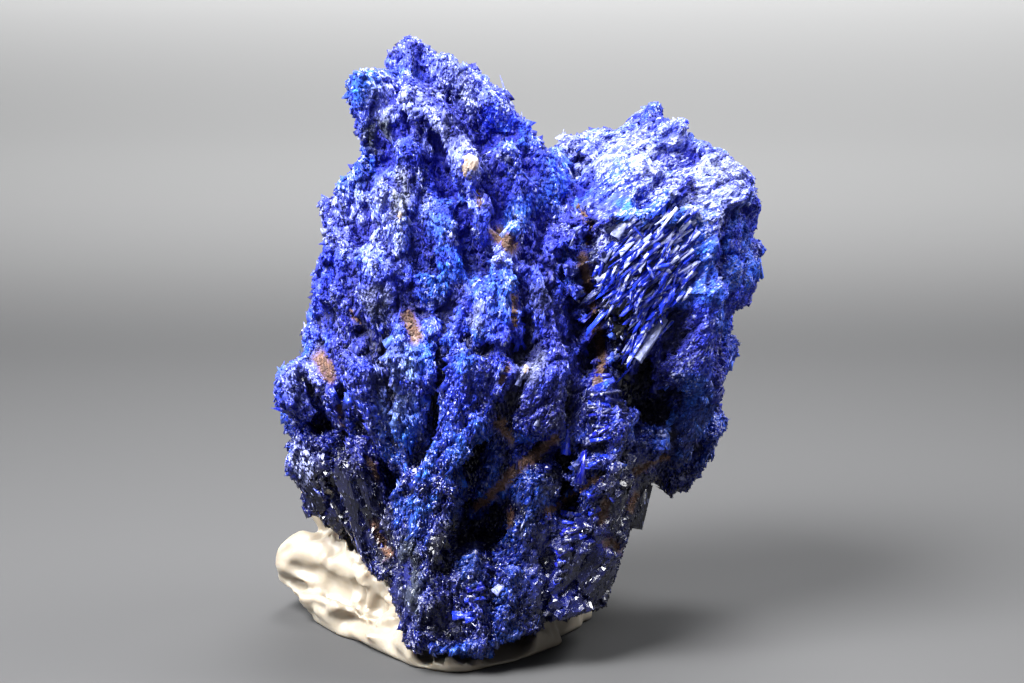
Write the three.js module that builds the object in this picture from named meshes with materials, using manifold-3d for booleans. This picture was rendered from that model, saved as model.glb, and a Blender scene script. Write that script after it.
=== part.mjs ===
// Azurite crystal cluster, held upright in a pad of kneaded mineral tack.
// Millimetres, +Z up, front towards -Y. The origin is the middle of the whole footprint,
// on the surface that the tack is pressed onto.
import * as THREE from "three";
import { ConvexGeometry } from "three/addons/geometries/ConvexGeometry.js";
import { mergeVertices } from "three/addons/utils/BufferGeometryUtils.js";
import Module from "manifold-3d";

const wasm = await Module();
wasm.setup();

// ---- driving sizes ----
const CHAMFER = 0.62; // where a block's chamfers start, as a share of its half size
const CHAMFERED = [[1, CHAMFER, CHAMFER], [CHAMFER, 1, CHAMFER], [CHAMFER, CHAMFER, 1]];
const SHARP = [[1, 1, 1]]; // a thin blade keeps its corners
const CORNER_SCATTER = 0.09; // how far a block's corner strays, as a share of its half size
const BOX_CORNERS = [-1, 1].flatMap((i) => [-1, 1].flatMap((j) => [-1, 1].map((k) => [i, j, k])));
const FAN_ROWS = 6; // rows of blades on the right lobe
const FAN_COLUMNS = 4; // blades in one row
const COLUMN_STEPS = 6; // flat crystals up the column
const SIGHT_POINT = [0, 0, 16.7]; // the front outline is drawn around this point
const SIGHT_TILT = 15; // how far above the horizon the outline is seen from, in degrees
const SIGHT_DISTANCE = 260; // how far away the outline is seen from
const SIGHT_DEPTH = 60; // how far the outline reaches through the cluster
const SEAT_GAP = 0.32; // between the crystal and the tack that holds it
const SEAT_TOP = 8; // the tack reaches no higher than this
const SMALLEST_EDGE = 0.02; // corners closer than this are one corner

const AZURITE_BLUE = 0x1d2fb4;
const TACK_CREAM = 0xe9e1d2;

// ---- helpers ----

// A repeatable stream of numbers from 0 to 1.
function seeded(seed) {
  let state = seed * 2654435761;
  return () => {
    state = (state + 0x6d2b79f5) | 0;
    let mixed = Math.imul(state ^ (state >>> 15), 1 | state);
    mixed = (mixed + Math.imul(mixed ^ (mixed >>> 7), 61 | mixed)) ^ mixed;
    return ((mixed ^ (mixed >>> 14)) >>> 0) / 4294967296;
  };
}

// Turns a closed geometry into a manifold-3d solid.
function solidFrom(geometry) {
  const bare = new THREE.BufferGeometry().setAttribute("position", geometry.getAttribute("position"));
  bare.setIndex(geometry.index);
  const merged = mergeVertices(bare, 1e-4);
  return new wasm.Manifold(
    new wasm.Mesh({
      numProp: 3,
      vertProperties: new Float32Array(merged.attributes.position.array),
      triVerts: new Uint32Array(merged.index.array),
    }),
  );
}

// Turns a solid back into a geometry that a mesh can show.
function geometryFrom(solid) {
  const { numProp, numVert, vertProperties, triVerts } = solid.getMesh();
  const positions = new Float32Array(numVert * 3);
  for (let i = 0; i < numVert; i += 1) {
    positions.set(vertProperties.subarray(i * numProp, i * numProp + 3), i * 3);
  }
  const geometry = new THREE.BufferGeometry();
  geometry.setAttribute("position", new THREE.BufferAttribute(positions, 3));
  geometry.setIndex(new THREE.BufferAttribute(new Uint32Array(triVerts), 1));
  geometry.computeVertexNormals();
  return geometry;
}

function joinAll(solids) {
  return solids.reduce((whole, next) => whole.add(next));
}

// The biggest body of a solid, so that a boolean leaves no crumbs.
function biggestBody(solid) {
  return solid.decompose().sort((a, b) => b.volume() - a.volume())[0];
}

// Where a lump or blade stands: at is its middle, turn is [about X, about Y, about Z] in degrees.
function placing(at, turn) {
  const [x, y, z] = turn.map(THREE.MathUtils.degToRad);
  return new THREE.Matrix4()
    .makeRotationFromEuler(new THREE.Euler(x, y, z, "YXZ"))
    .setPosition(new THREE.Vector3(...at));
}

// A rough crystal block: a box with chamfered edges, whose corners stray a little.
// ends says how wide its top and bottom are, as shares of its middle.
function block({ at, half, turn = [0, 0, 0], ends = [1, 1], edges = CHAMFERED }, seed) {
  const random = seeded(seed);
  const stray = () => 1 + CORNER_SCATTER * (2 * random() - 1);
  const corners = [];
  for (const [i, j, k] of BOX_CORNERS) {
    const width = k > 0 ? ends[0] : ends[1];
    for (const [p, q, r] of edges) {
      corners.push(
        new THREE.Vector3(i * p * half[0] * width * stray(), j * q * half[1] * width * stray(), k * r * half[2] * stray()),
      );
    }
  }
  return solidFrom(new ConvexGeometry(corners).applyMatrix4(placing(at, turn)));
}

// ---- the azurite cluster ----
// turn[1] leans a piece to the right (+) or left (-) as seen from the front.

const LEFT_TOP = [
  { at: [-7.7, 0.8, 28.8], half: [1.25, 2.2, 3.2], turn: [0, -4, 12], ends: [1, 1] }, // front peak with the flat top
  { at: [-7.4, 0.2, 25.7], half: [1.3, 2.2, 2.8], turn: [0, -10, 20], ends: [0.9, 1] }, // dark patch below it
  { at: [-5.2, 3.8, 30.7], half: [1.4, 2.6, 2.9], turn: [0, -24, 8], ends: [0.62, 1] }, // rear peak
  { at: [-3.2, 3.8, 29.4], half: [2, 3, 2.8], turn: [0, -42, 0], ends: [0.9, 1] }, // skyline, first step
  { at: [-1.1, 3.4, 28.1], half: [1.9, 3, 2.9], turn: [0, -46, 6], ends: [0.8, 1] }, // skyline, second step
  { at: [0.8, 2.8, 25.9], half: [1.8, 3.2, 2.8], turn: [0, -36, 0], ends: [0.8, 1] }, // skyline, third step
  { at: [1.8, 1.4, 23.6], half: [1.7, 3, 3.2], turn: [0, -24, 14], ends: [0.8, 1] }, // shoulder beside the cleft
  { at: [-2.0, 4.6, 25.2], half: [2.6, 3.2, 4.4], turn: [0, -38, 0], ends: [0.9, 1] }, // under the skyline
  { at: [-4.8, -1.0, 30.2], half: [0.75, 1.8, 1.3], turn: [0, -62, 0], ends: [0.9, 1] }, // arched ridge, top
  { at: [-3.5, -1.7, 28.9], half: [0.8, 1.9, 1.9], turn: [0, -34, 6], ends: [0.9, 0.9] }, // arched ridge, bend
  { at: [-2.6, -2.2, 26.3], half: [0.85, 2, 2.4], turn: [0, -14, 10], ends: [0.9, 0.9] }, // arched ridge, flank
  { at: [-1.8, -2.8, 24.0], half: [0.8, 2, 2], turn: [0, -14, 10], ends: [0.9, 0.8] }, // arched ridge, foot
  { at: [-5.4, 0.0, 28.0], half: [1.9, 2.2, 3], turn: [0, -22, -6], ends: [0.8, 1] }, // between the ridge and the patch
  { at: [-0.5, 1.8, 23.4], half: [1.9, 2.4, 4], turn: [0, -22, 0], ends: [0.9, 1] }, // valley floor
];

const LEFT_FACE = [
  { at: [-5.8, -1.9, 26.2], half: [0.95, 1.8, 2], turn: [0, -6, 24], ends: [0.8, 1] }, // pale patch
  { at: [-5.6, -1.2, 23.3], half: [2.5, 3.4, 3.8], turn: [0, -8, 14], ends: [0.8, 1] }, // upper face
  { at: [-3.2, -2.2, 22.5], half: [1.5, 2.8, 3.2], turn: [0, -16, -6], ends: [0.8, 1] }, // upper face, right
  { at: [-8.8, 1.2, 23.7], half: [1.5, 3.2, 2.7], turn: [0, 6, 24], ends: [0.9, 1] }, // left shoulder
  { at: [-9.5, 0.4, 21.2], half: [1.5, 3.2, 2.7], turn: [0, 12, 26], ends: [0.9, 1] }, // left shoulder, lower
  { at: [-6.6, -1.4, 19.1], half: [2.7, 4, 4.6], turn: [0, 3, 12], ends: [0.9, 0.8] }, // broad face
  { at: [-3.8, -2.2, 18.8], half: [1.6, 3.4, 4.4], turn: [0, 8, -12], ends: [0.8, 0.8] }, // broad face, right
  { at: [-9.0, -0.4, 18.4], half: [1.5, 3.6, 3.6], turn: [0, 12, 28], ends: [0.9, 0.8] }, // broad face, left
  { at: [-10.6, 1.4, 17.5], half: [1.4, 3.2, 2.9], turn: [0, 16, 34], ends: [0.9, 0.9] }, // left edge
  { at: [-11.8, 0.4, 14.7], half: [1.5, 2.2, 1.7], turn: [0, 24, 24], ends: [0.8, 0.8] }, // knob
  { at: [-9.5, -0.4, 13.7], half: [1.3, 2.6, 2.8], turn: [0, -26, 20], ends: [0.9, 0.7] }, // below the knob
  { at: [-7.3, -2.6, 13.9], half: [1.7, 3, 4], turn: [0, -20, 24], ends: [1, 0.5] }, // point, left
  { at: [-5.1, -3.4, 14.4], half: [1.7, 3, 4.6], turn: [0, 4, -8], ends: [1, 0.45] }, // point, right
];

const CENTRE = [
  { at: [-0.5, -4.4, 20.8], half: [1.35, 2.8, 3.3], turn: [0, 4, -12], ends: [0.5, 1] }, // front peak
  { at: [-2.4, -4.0, 19.4], half: [1.4, 2.8, 2.7], turn: [0, 24, 10], ends: [0.7, 0.9] }, // left slope
  { at: [1.3, -4.4, 19.0], half: [1.05, 2.6, 3.2], turn: [0, -6, 22], ends: [0.55, 0.9] }, // middle ridge
  { at: [3.0, -3.4, 18.6], half: [1.05, 2.8, 4.7], turn: [0, -9, -24], ends: [0.5, 0.9] }, // ridge on the cleft
  { at: [-1.9, -4.4, 15.6], half: [2.3, 3.2, 3.2], turn: [0, 16, 6], ends: [0.9, 0.8] }, // body, left
  { at: [1.2, -4.2, 15.3], half: [2.2, 3.2, 2.9], turn: [0, -4, -8], ends: [0.9, 0.8] }, // body, right
  { at: [3.4, -3.2, 14.0], half: [1.3, 2.8, 2.4], turn: [0, -6, -20], ends: [0.8, 1] }, // ridge foot
  { at: [-1.7, 1.0, 18.9], half: [5.6, 4.6, 8.4], turn: [0, -8, 0], ends: [0.8, 1] }, // core
];

const KEEL = [
  { at: [-3.1, -5.0, 12.4], half: [1.4, 2.8, 3.6], turn: [0, 33, -10], ends: [0.9, 0.6] }, // slanting ridge
  { at: [-0.4, -3.0, 11.1], half: [2, 3, 2.8], turn: [0, 20, 4], ends: [0.9, 0.8] }, // under the slanting ridge
  { at: [-5.3, -5.6, 6.8], half: [1, 2.8, 4.3], turn: [0, 2, 42], ends: [0.5, 0.9] }, // keel edge
  { at: [-3.7, -4.6, 8.6], half: [1.6, 2.8, 3.4], turn: [0, 10, -14], ends: [0.8, 0.9] }, // keel flank
  { at: [-3.1, -4.4, 3.7], half: [2.7, 3.2, 2.9], turn: [0, -6, -8], ends: [0.9, 1] }, // lower left block
  { at: [-0.2, -4.0, 3.8], half: [1.9, 3, 3.2], turn: [0, 6, 10], ends: [0.9, 1] }, // lower middle block
  { at: [0.8, -3.8, 8.5], half: [1.7, 3, 3], turn: [0, 4, 16], ends: [0.8, 0.9] }, // middle column
  { at: [4.7, -3.6, 13.7], half: [1.2, 2.8, 2.6], turn: [0, 2, -20], ends: [0.85, 1] }, // striated column
  { at: [4.1, -3.4, 9.6], half: [1.2, 2.8, 2.8], turn: [0, -6, 18], ends: [0.9, 0.9] }, // column below
  { at: [5.8, -2.8, 9.0], half: [1.1, 2.6, 3], turn: [0, 8, -24], ends: [0.9, 0.9] }, // column right
  { at: [2.7, -3.4, 5.5], half: [1.6, 3, 3.4], turn: [0, 8, 12], ends: [0.9, 1] }, // right face
  { at: [4.7, -2.8, 5.3], half: [1.5, 3, 3.2], turn: [0, 14, -18], ends: [0.9, 1] }, // right corner
  { at: [-0.5, 0.6, 7.8], half: [5, 4.4, 7.2], turn: [0, 4, 0], ends: [1, 0.8] }, // core
  { at: [-10.2, 2.6, 8.8], half: [1.7, 2.6, 3.6], turn: [0, -24, -24], ends: [1, 0.7] }, // back plate
  { at: [-8.6, 1.0, 8.3], half: [1.6, 2.6, 3.8], turn: [0, -26, -28], ends: [1, 0.7] }, // back plate, middle
  { at: [-7.0, -0.8, 8.1], half: [1.4, 2.6, 4], turn: [0, -14, -34], ends: [1, 0.8] }, // back plate, inner
];

const RIGHT_LOBE = [
  { at: [8.4, 0.4, 22.4], half: [3.2, 4.8, 4.2], turn: [0, 12, 10], ends: [0.8, 1] }, // head
  { at: [6.0, 0.2, 24.7], half: [2.2, 4, 2.8], turn: [0, 36, 12], ends: [0.8, 1] }, // upper left
  { at: [8.7, 2.6, 27.1], half: [2.5, 3.6, 2], turn: [0, 22, 0], ends: [0.75, 1] }, // crown
  { at: [10.9, 1.8, 25.8], half: [2, 3.8, 2.2], turn: [0, -36, -10], ends: [0.8, 1] }, // upper right
  { at: [11.4, 1.2, 22.4], half: [1.9, 3.8, 3.8], turn: [0, -4, -22], ends: [0.9, 1] }, // right bulge
  { at: [4.0, 8.6, 25.2], half: [2.3, 2.6, 1.6], turn: [0, -12, 0], ends: [0.8, 1] }, // rear crown
  { at: [6.4, 7.0, 26.6], half: [2.1, 2.8, 1.9], turn: [0, 14, 0], ends: [0.8, 1] }, // rear crown, right
  { at: [7.8, 6.2, 27.7], half: [0.9, 1.8, 1.4], turn: [0, 6, 0], ends: [0.6, 1] }, // rear tip
  { at: [6.2, -1.8, 21.9], half: [2, 3, 2.7], turn: [0, 46, 14], ends: [0.9, 0.9] }, // fan base
  { at: [7.5, -2.6, 18.0], half: [0.9, 2.2, 1.8], turn: [0, 32, -30], ends: [0.9, 0.9] }, // bright facet
  { at: [9.6, -0.4, 18.2], half: [2.3, 4, 3.8], turn: [0, 6, -10], ends: [1, 0.8] }, // middle
  { at: [9.3, 1.6, 13.1], half: [2.1, 3.8, 3.4], turn: [0, 16, -12], ends: [1, 0.7] }, // low
  { at: [7.0, 0.2, 10.2], half: [1.6, 3.2, 2.6], turn: [0, 22, -10], ends: [1, 0.7] }, // foot of the lobe
  { at: [9.5, 5.4, 9.5], half: [2.1, 2.8, 2.6], turn: [0, 32, 0], ends: [1, 0.7] }, // tail
  { at: [4.9, 2.0, 16.7], half: [2.4, 3.8, 6.4], turn: [0, -4, 0], ends: [1, 1] }, // behind the cleft
  { at: [5.1, 1.0, 9.7], half: [1.9, 3.6, 4], turn: [0, 10, 0], ends: [1, 0.8] }, // behind the columns
  { at: [-1.2, 5.8, 17.2], half: [6, 3.2, 8.2], turn: [0, 2, 0], ends: [0.7, 1] }, // back of the mass
  { at: [7.6, 5.6, 19.5], half: [4.2, 3, 6], turn: [0, 8, 0], ends: [0.8, 0.8] }, // back of the lobe
  { at: [0.4, 5.4, 7.2], half: [5, 3.4, 5.2], turn: [0, -4, 0], ends: [1, 0.7] }, // back of the foot
];

// The cluster's outline as seen from the front and SIGHT_TILT above: [right, up] from SIGHT_POINT.
const FRONT_OUTLINE = [
  [-8.8, 13.7], [-8.5, 14.3], [-6.5, 14.5], [-6.6, 15.2], [-5.5, 16.2], [-3.9, 15.4], [-1.7, 14.5],
  [-0.3, 13.3], [0.0, 12.6], [1.5, 10.8], [2.2, 10.1], [3.2, 11.1], [5.7, 11.5], [7.7, 12.7],
  [8.4, 12.0], [9.3, 11.9], [9.6, 11.1], [11.5, 10.2], [12.7, 9.0], [13.3, 7.3], [13.1, 5.9],
  [13.4, 5.2], [13.1, 2.9], [12.4, 0.2], [11.4, -2.2], [11.1, -3.8], [11.4, -4.5], [11.0, -5.8],
  [9.5, -8.2], [8.4, -8.9], [7.1, -9.9], [6.7, -11.3], [5.9, -13.5], [5.3, -14.7], [2.6, -15.8],
  [0.3, -16.6], [-1.5, -17.1], [-4.6, -16.7], [-5.5, -16.3], [-6.3, -14.2], [-6.4, -13.0],
  [-7.9, -12.0], [-10.2, -11.0], [-10.4, -10.0], [-11.4, -8.5], [-12.3, -7.4], [-12.3, -6.2],
  [-12.0, -5.1], [-12.7, -2.9], [-12.5, -1.7], [-11.5, -0.8], [-11.1, 1.2], [-10.8, 3.2], [-9.9, 5.4],
  [-10.1, 7.4], [-8.4, 9.5], [-8.1, 10.2], [-8.5, 12.4],
];

// Everything inside the front outline, along the line of sight.
function frontSilhouette() {
  const shape = new THREE.Shape(FRONT_OUTLINE.map(([right, up]) => new THREE.Vector2(right, up)));
  const prism = new THREE.ExtrudeGeometry(shape, { depth: SIGHT_DEPTH, steps: 1, bevelEnabled: false });
  prism.translate(0, 0, -SIGHT_DEPTH / 2);
  const corners = prism.getAttribute("position");
  for (let i = 0; i < corners.count; i += 1) {
    const nearness = 1 - corners.getZ(i) / SIGHT_DISTANCE;
    corners.setXY(i, corners.getX(i) * nearness, corners.getY(i) * nearness);
  }
  prism.rotateX(THREE.MathUtils.degToRad(90 - SIGHT_TILT));
  return solidFrom(prism.translate(...SIGHT_POINT));
}

const BACK = [
  { at: [-4.6, 8.3, 23.6], half: [2.1, 2.2, 4.0], turn: [0, -12, 8], ends: [0.7, 1] },
  { at: [-1.2, 9.2, 20.6], half: [1.9, 2.2, 5.0], turn: [0, -5, -10], ends: [0.6, 1] },
  { at: [2.0, 8.8, 19.0], half: [1.7, 2.2, 4.4], turn: [0, 6, 12], ends: [0.7, 1] },
  { at: [-6.8, 7.2, 17.6], half: [1.9, 2.4, 4.2], turn: [0, -12, -16], ends: [0.8, 1] },
  { at: [-3.4, 9.0, 14.2], half: [1.9, 2.4, 4.6], turn: [0, -7, 10], ends: [0.8, 0.9] },
  { at: [0.5, 9.8, 12.6], half: [2.1, 2.3, 4.6], turn: [0, 2, -8], ends: [0.8, 0.9] },
  { at: [4.4, 8.6, 13.4], half: [1.8, 2.3, 4.2], turn: [0, 9, 14], ends: [0.8, 0.9] },
  { at: [-7.8, 7.0, 10.6], half: [1.8, 2.2, 3.8], turn: [0, -22, -14], ends: [0.9, 0.8] },
  { at: [-4.4, 8.6, 7.4], half: [1.9, 2.2, 4.0], turn: [0, -12, 12], ends: [0.9, 0.8] },
  { at: [-0.6, 9.2, 5.8], half: [1.9, 2.0, 3.8], turn: [0, -2, -12], ends: [0.9, 0.9] },
  { at: [3.2, 8.2, 6.4], half: [1.9, 2.0, 3.8], turn: [0, 9, 10], ends: [0.9, 0.8] },
  { at: [7.2, 8.0, 20.4], half: [2.1, 2.4, 3.9], turn: [0, 8, -12], ends: [0.7, 1] },
  { at: [10.4, 6.2, 18.4], half: [1.9, 2.4, 4.0], turn: [0, 10, -24], ends: [0.8, 0.9] },
  { at: [7.4, 7.2, 14.0], half: [1.9, 2.3, 3.4], turn: [0, 18, 10], ends: [0.9, 0.8] },
  { at: [11.4, 4.8, 22.8], half: [1.8, 2.6, 2.8], turn: [0, -8, -30], ends: [0.8, 1] },
];

const BLOCKS = [...LEFT_TOP, ...LEFT_FACE, ...CENTRE, ...KEEL, ...RIGHT_LOBE, ...BACK];

// Thin parallel blades that stand out of the front of the right lobe.
function fanBlades() {
  const random = seeded(80);
  const blades = [];
  for (let row = 0; row < FAN_ROWS; row += 1) {
    for (let column = 0; column < FAN_COLUMNS; column += 1) {
      const [along, up] = [column / (FAN_COLUMNS - 1), row / (FAN_ROWS - 1)];
      const stray = () => 0.35 * (random() - 0.5);
      blades.push({
        at: [5.6 - 1.4 * up + (3.4 + 1.2 * up) * along + stray(), -3.6 + 0.9 * along * along + stray(), 17.4 + 6.8 * up + 1.2 * along + stray()],
        half: [0.3, 1.5, 1.1 + 0.6 * random()],
        turn: [12, 44 + 16 * (1 - along) + 20 * stray(), 8],
        ends: [0.5, 1],
        edges: SHARP,
      });
    }
  }
  return blades;
}

// Short flat crystals stacked up the column beside the cleft.
function columnSteps() {
  const random = seeded(91);
  return Array.from({ length: COLUMN_STEPS }, (_, i) => ({
    at: [4.9 + 0.5 * (random() - 0.5), -5.2, 10.2 + 0.8 * i],
    half: [1.05 + 0.25 * random(), 1.2 + 0.3 * random(), 0.3],
    turn: [0, -8, -18],
    edges: SHARP,
  }));
}

function azuriteCluster() {
  const pieces = [...BLOCKS, ...fanBlades(), ...columnSteps()];
  const whole = joinAll(pieces.map((piece, i) => block(piece, i + 1)));
  return biggestBody(whole.intersect(frontSilhouette())).simplify(SMALLEST_EDGE);
}

// ---- the mineral tack ----

// A kneaded roll: each point is [x, y, z, radius].
function roll(points) {
  const balls = points.map(([x, y, z, radius]) => {
    const ball = new THREE.DodecahedronGeometry(radius).getAttribute("position");
    return Array.from({ length: ball.count }, (_, i) => new THREE.Vector3(x, y, z).add(new THREE.Vector3().fromBufferAttribute(ball, i)));
  });
  return joinAll(balls.slice(1).map((ball, i) => solidFrom(new ConvexGeometry([...balls[i], ...ball]))));
}

const LOWER_ROLL = [
  [-12.3, 4.2, 2.2, 1.0], [-11.0, 2.6, 1.7, 1.25], [-9.4, 0.5, 1.2, 1.1], [-7.2, -2.3, 1.0, 1.2],
  [-4.8, -5.3, 0.7, 1.05], [-3.0, -6.2, 0.6, 1.0], [-0.2, -4.5, 0.5, 0.9], [2.3, -1.9, 0.3, 0.6],
];
const UPPER_ROLL = [
  [-12.7, 3.9, 3.3, 0.8], [-11.7, 3.6, 3.8, 1.1], [-9.6, 2.4, 3.5, 1.1], [-7.4, -0.2, 2.6, 1.2], [-6.0, -3.2, 1.7, 1.1],
];
const SMEAR = [[-9.2, 3.8, 3.6, 1.2], [-9.8, 4.2, 4.9, 1.0], [-10.7, 4.4, 6.1, 0.85], [-11.4, 4.6, 7.1, 0.55]];
const BACK_ROLL = [
  [-11.0, 5.2, 1.7, 1.8], [-8.4, 9.0, 1.8, 2.1], [-2.2, 11.2, 2.0, 2.3], [2.9, 9.8, 1.6, 1.8],
  [3.6, 5.8, 1.0, 1.4], [1.6, 0.2, 0.5, 0.9],
];
const PAD = [
  { at: [-3.6, 1.6, 1.2], half: [6.4, 5.4, 1.9], turn: [0, 0, -30] },
  { at: [-0.6, 5.6, 1.6], half: [5.4, 5.2, 2.3] },
];

// The room that the cluster takes up low down, with the seat gap around it.
function seat() {
  const low = BLOCKS.map((piece, i) => ({ ...piece, seed: i + 1 })).filter(({ at, half }) => at[2] - half[2] < SEAT_TOP);
  return joinAll(low.map((piece) => block({ ...piece, half: piece.half.map((size) => size + SEAT_GAP) }, piece.seed)));
}

function mineralTack() {
  const kneaded = [LOWER_ROLL, UPPER_ROLL, SMEAR, BACK_ROLL].map(roll);
  const whole = joinAll([...kneaded, ...PAD.map((lump, i) => block(lump, i + 201))]);
  return biggestBody(whole.subtract(seat()).trimByPlane([0, 0, 1], 0)).simplify(SMALLEST_EDGE);
}

// ---- the part ----

function pieceMesh(name, solid, colour, roughness) {
  const mesh = new THREE.Mesh(
    geometryFrom(solid),
    new THREE.MeshStandardMaterial({ color: colour, roughness, metalness: 0, flatShading: true }),
  );
  mesh.name = name;
  return mesh;
}

// How far to slide a thing so that its footprint's middle comes to the origin.
function toFootprintMiddle(solid) {
  const { min, max } = solid.boundingBox();
  return [-(min[0] + max[0]) / 2, -(min[1] + max[1]) / 2, -min[2]];
}

const crystal = azuriteCluster();
const tack = mineralTack();
const slide = toFootprintMiddle(crystal.add(tack));

const part = new THREE.Group();
part.add(pieceMesh("azurite_cluster", crystal.translate(slide), AZURITE_BLUE, 0.45));
part.add(pieceMesh("mineral_tack", tack.translate(slide), TACK_CREAM, 0.7));

export default part;
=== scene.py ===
# An azurite cluster that stands upright in a kneaded pad of mineral tack.
import math

import bpy
import mathutils
import numpy as np
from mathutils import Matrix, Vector


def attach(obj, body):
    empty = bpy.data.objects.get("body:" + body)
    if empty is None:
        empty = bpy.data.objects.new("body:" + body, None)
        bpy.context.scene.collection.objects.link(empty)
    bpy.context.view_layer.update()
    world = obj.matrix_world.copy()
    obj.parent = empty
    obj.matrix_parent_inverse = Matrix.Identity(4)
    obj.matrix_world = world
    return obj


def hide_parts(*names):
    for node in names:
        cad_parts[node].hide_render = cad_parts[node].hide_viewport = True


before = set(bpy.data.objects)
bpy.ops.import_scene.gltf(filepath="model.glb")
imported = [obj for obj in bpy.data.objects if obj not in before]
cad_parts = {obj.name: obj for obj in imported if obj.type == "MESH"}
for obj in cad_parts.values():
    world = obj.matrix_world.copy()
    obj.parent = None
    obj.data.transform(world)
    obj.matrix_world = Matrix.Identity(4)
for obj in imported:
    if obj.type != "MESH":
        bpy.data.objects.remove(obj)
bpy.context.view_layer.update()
scene = bpy.context.scene
mm = 0.001  # the frame is in metres, the sizes below are in millimetres

# The camera looks at the middle of the cluster from the front, a little above it.
cameraSetup = {
    "aim": (-0.10, -2.76, 16.7),
    "distance": 260.0,
    "above": 15.0,  # degrees
    "lens": 168.2,
    "sensor": 36.0,
    "clip": (0.005, 20),  # metres
}


def viewAxes():
    # rightward, upward and towards the eye, as the camera sees the front
    above = math.radians(cameraSetup["above"])
    return (1, 0, 0), (0, math.sin(above), math.cos(above)), (0, -math.cos(above), math.sin(above))


def placeCamera(setup):
    aim, towards = Vector(setup["aim"]) * mm, Vector(viewAxes()[2])
    bpy.ops.object.camera_add(location=aim + towards * setup["distance"] * mm)
    camera = bpy.context.object
    camera.name = "camera"
    camera.rotation_euler = (-towards).to_track_quat("-Z", "Y").to_euler()
    camera.data.lens = setup["lens"]
    camera.data.sensor_width = setup["sensor"]
    camera.data.clip_start, camera.data.clip_end = setup["clip"]
    camera.data.dof.use_dof = False
    scene.camera = camera


placeCamera(cameraSetup)
print("camera placed")


# Repeatable noise on arrays of points, all in millimetres.
def scramble(cells, seed):
    # a number from 0 to 1 for each whole-numbered cell
    a = cells.astype(np.int64)
    h = a[..., 0] * 374761393 + a[..., 1] * 668265263 + a[..., 2] * 2147483647 + seed * 1274126177
    h = h & 0xFFFFFFFF
    h = ((h ^ (h >> 13)) * 1274126177) & 0xFFFFFFFF
    h = ((h ^ (h >> 16)) * 2246822519) & 0xFFFFFFFF
    return ((h ^ (h >> 15)) & 0xFFFFFF) / float(0x1000000)


def softNoise(p, seed):
    low = np.floor(p)
    t = p - low
    t = t * t * (3 - 2 * t)
    total = np.zeros(len(p))
    for i in (0, 1):
        for j in (0, 1):
            for k in (0, 1):
                corner = low + np.array((i, j, k))
                w = np.abs(1 - i - t[:, 0]) * np.abs(1 - j - t[:, 1]) * np.abs(1 - k - t[:, 2])
                total += w * scramble(corner, seed)
    return total


def roughNoise(p, seed, octaves=3):
    total, weight, size = np.zeros(len(p)), 0.0, 1.0
    for i in range(octaves):
        total += size * softNoise(p * (2.03 ** i), seed + 17 * i)
        weight += size
        size *= 0.5
    return total / weight


def crystalCells(p, seed):
    # the distances to the nearest and second nearest cell middle, where the point lies in its cell,
    # and three random numbers for that cell
    low = np.floor(p)
    near = np.full(len(p), 1e9)
    second = np.full(len(p), 1e9)
    offset = np.zeros((len(p), 3))
    pick = np.zeros((len(p), 3))
    for i in (-1, 0, 1):
        for j in (-1, 0, 1):
            for k in (-1, 0, 1):
                cell = low + np.array((i, j, k))
                jitter = np.stack([scramble(cell, seed + n) for n in (1, 2, 3)], axis=1)
                away = p - (cell + 0.1 + 0.8 * jitter)
                d = np.sqrt((away ** 2).sum(axis=1))
                closer = d < near
                second = np.where(closer, near, np.minimum(second, d))
                near = np.where(closer, d, near)
                offset[closer] = away[closer]
                pick[closer] = cell[closer]
    chance = np.stack([scramble(pick, seed + n) for n in (11, 12, 13)], axis=1)
    return near, second, offset, chance


def unit(v):
    return v / np.maximum(np.linalg.norm(v, axis=-1, keepdims=True), 1e-9)


def blend(low, high, value):
    t = np.clip((value - low) / (high - low), 0, 1)
    return t * t * (3 - 2 * t)


# How the cluster grew.
growth = {
    "foot": (-3.6, -4.2, -7.0),  # the tall mass fans out from here
    "reach": 24.0,  # how far its surface lies from the foot
    "hub": (21.0, 7.0),  # x and z of the middle of the arcs that the lobe's blades follow
    "arc": 15.0,  # how far the blades lie from the hub
    # height and x of the cleft between the tall mass and the lobe
    "cleft": ((0, 6.9), (9.0, 6.6), (12.0, 6.4), (15.3, 5.2),
              (18.7, 4.3), (21.5, 3.7), (24.9, 3.1), (40, 2.6)),
}


def cleftX(z):
    heights, xs = zip(*growth["cleft"])
    return np.interp(z, heights, xs)


def onLobe(p):
    # 1 on the round lobe, 0 on the tall mass
    return blend(-0.25, 0.35, p[:, 0] - cleftX(p[:, 2]))


def grainAt(p):
    # the way the crystals point at each place
    tall = unit(p - np.array(growth["foot"]))
    x, z = p[:, 0] - growth["hub"][0], p[:, 2] - growth["hub"][1]
    lobe = unit(np.stack([z, np.full(len(p), -2.5), -x], axis=1))
    share = onLobe(p)[:, None]
    return unit(tall * (1 - share) + lobe * share)


def grainSpace(p, wide, long):
    # space squeezed along the grain and centred on each mass, so that a pattern in it is drawn out
    away = p - np.array(growth["foot"])
    r = np.linalg.norm(away, axis=1, keepdims=True)
    tall = away / r * (growth["reach"] / wide + r / long)
    x, z = p[:, 0] - growth["hub"][0], p[:, 2] - growth["hub"][1]
    turn = np.arctan2(z, -x) * growth["arc"]
    lobe = np.stack([np.hypot(x, z) / wide, p[:, 1] / wide, turn / long], axis=1) + 40
    return np.where(onLobe(p)[:, None] > 0.5, lobe, tall)


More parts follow.
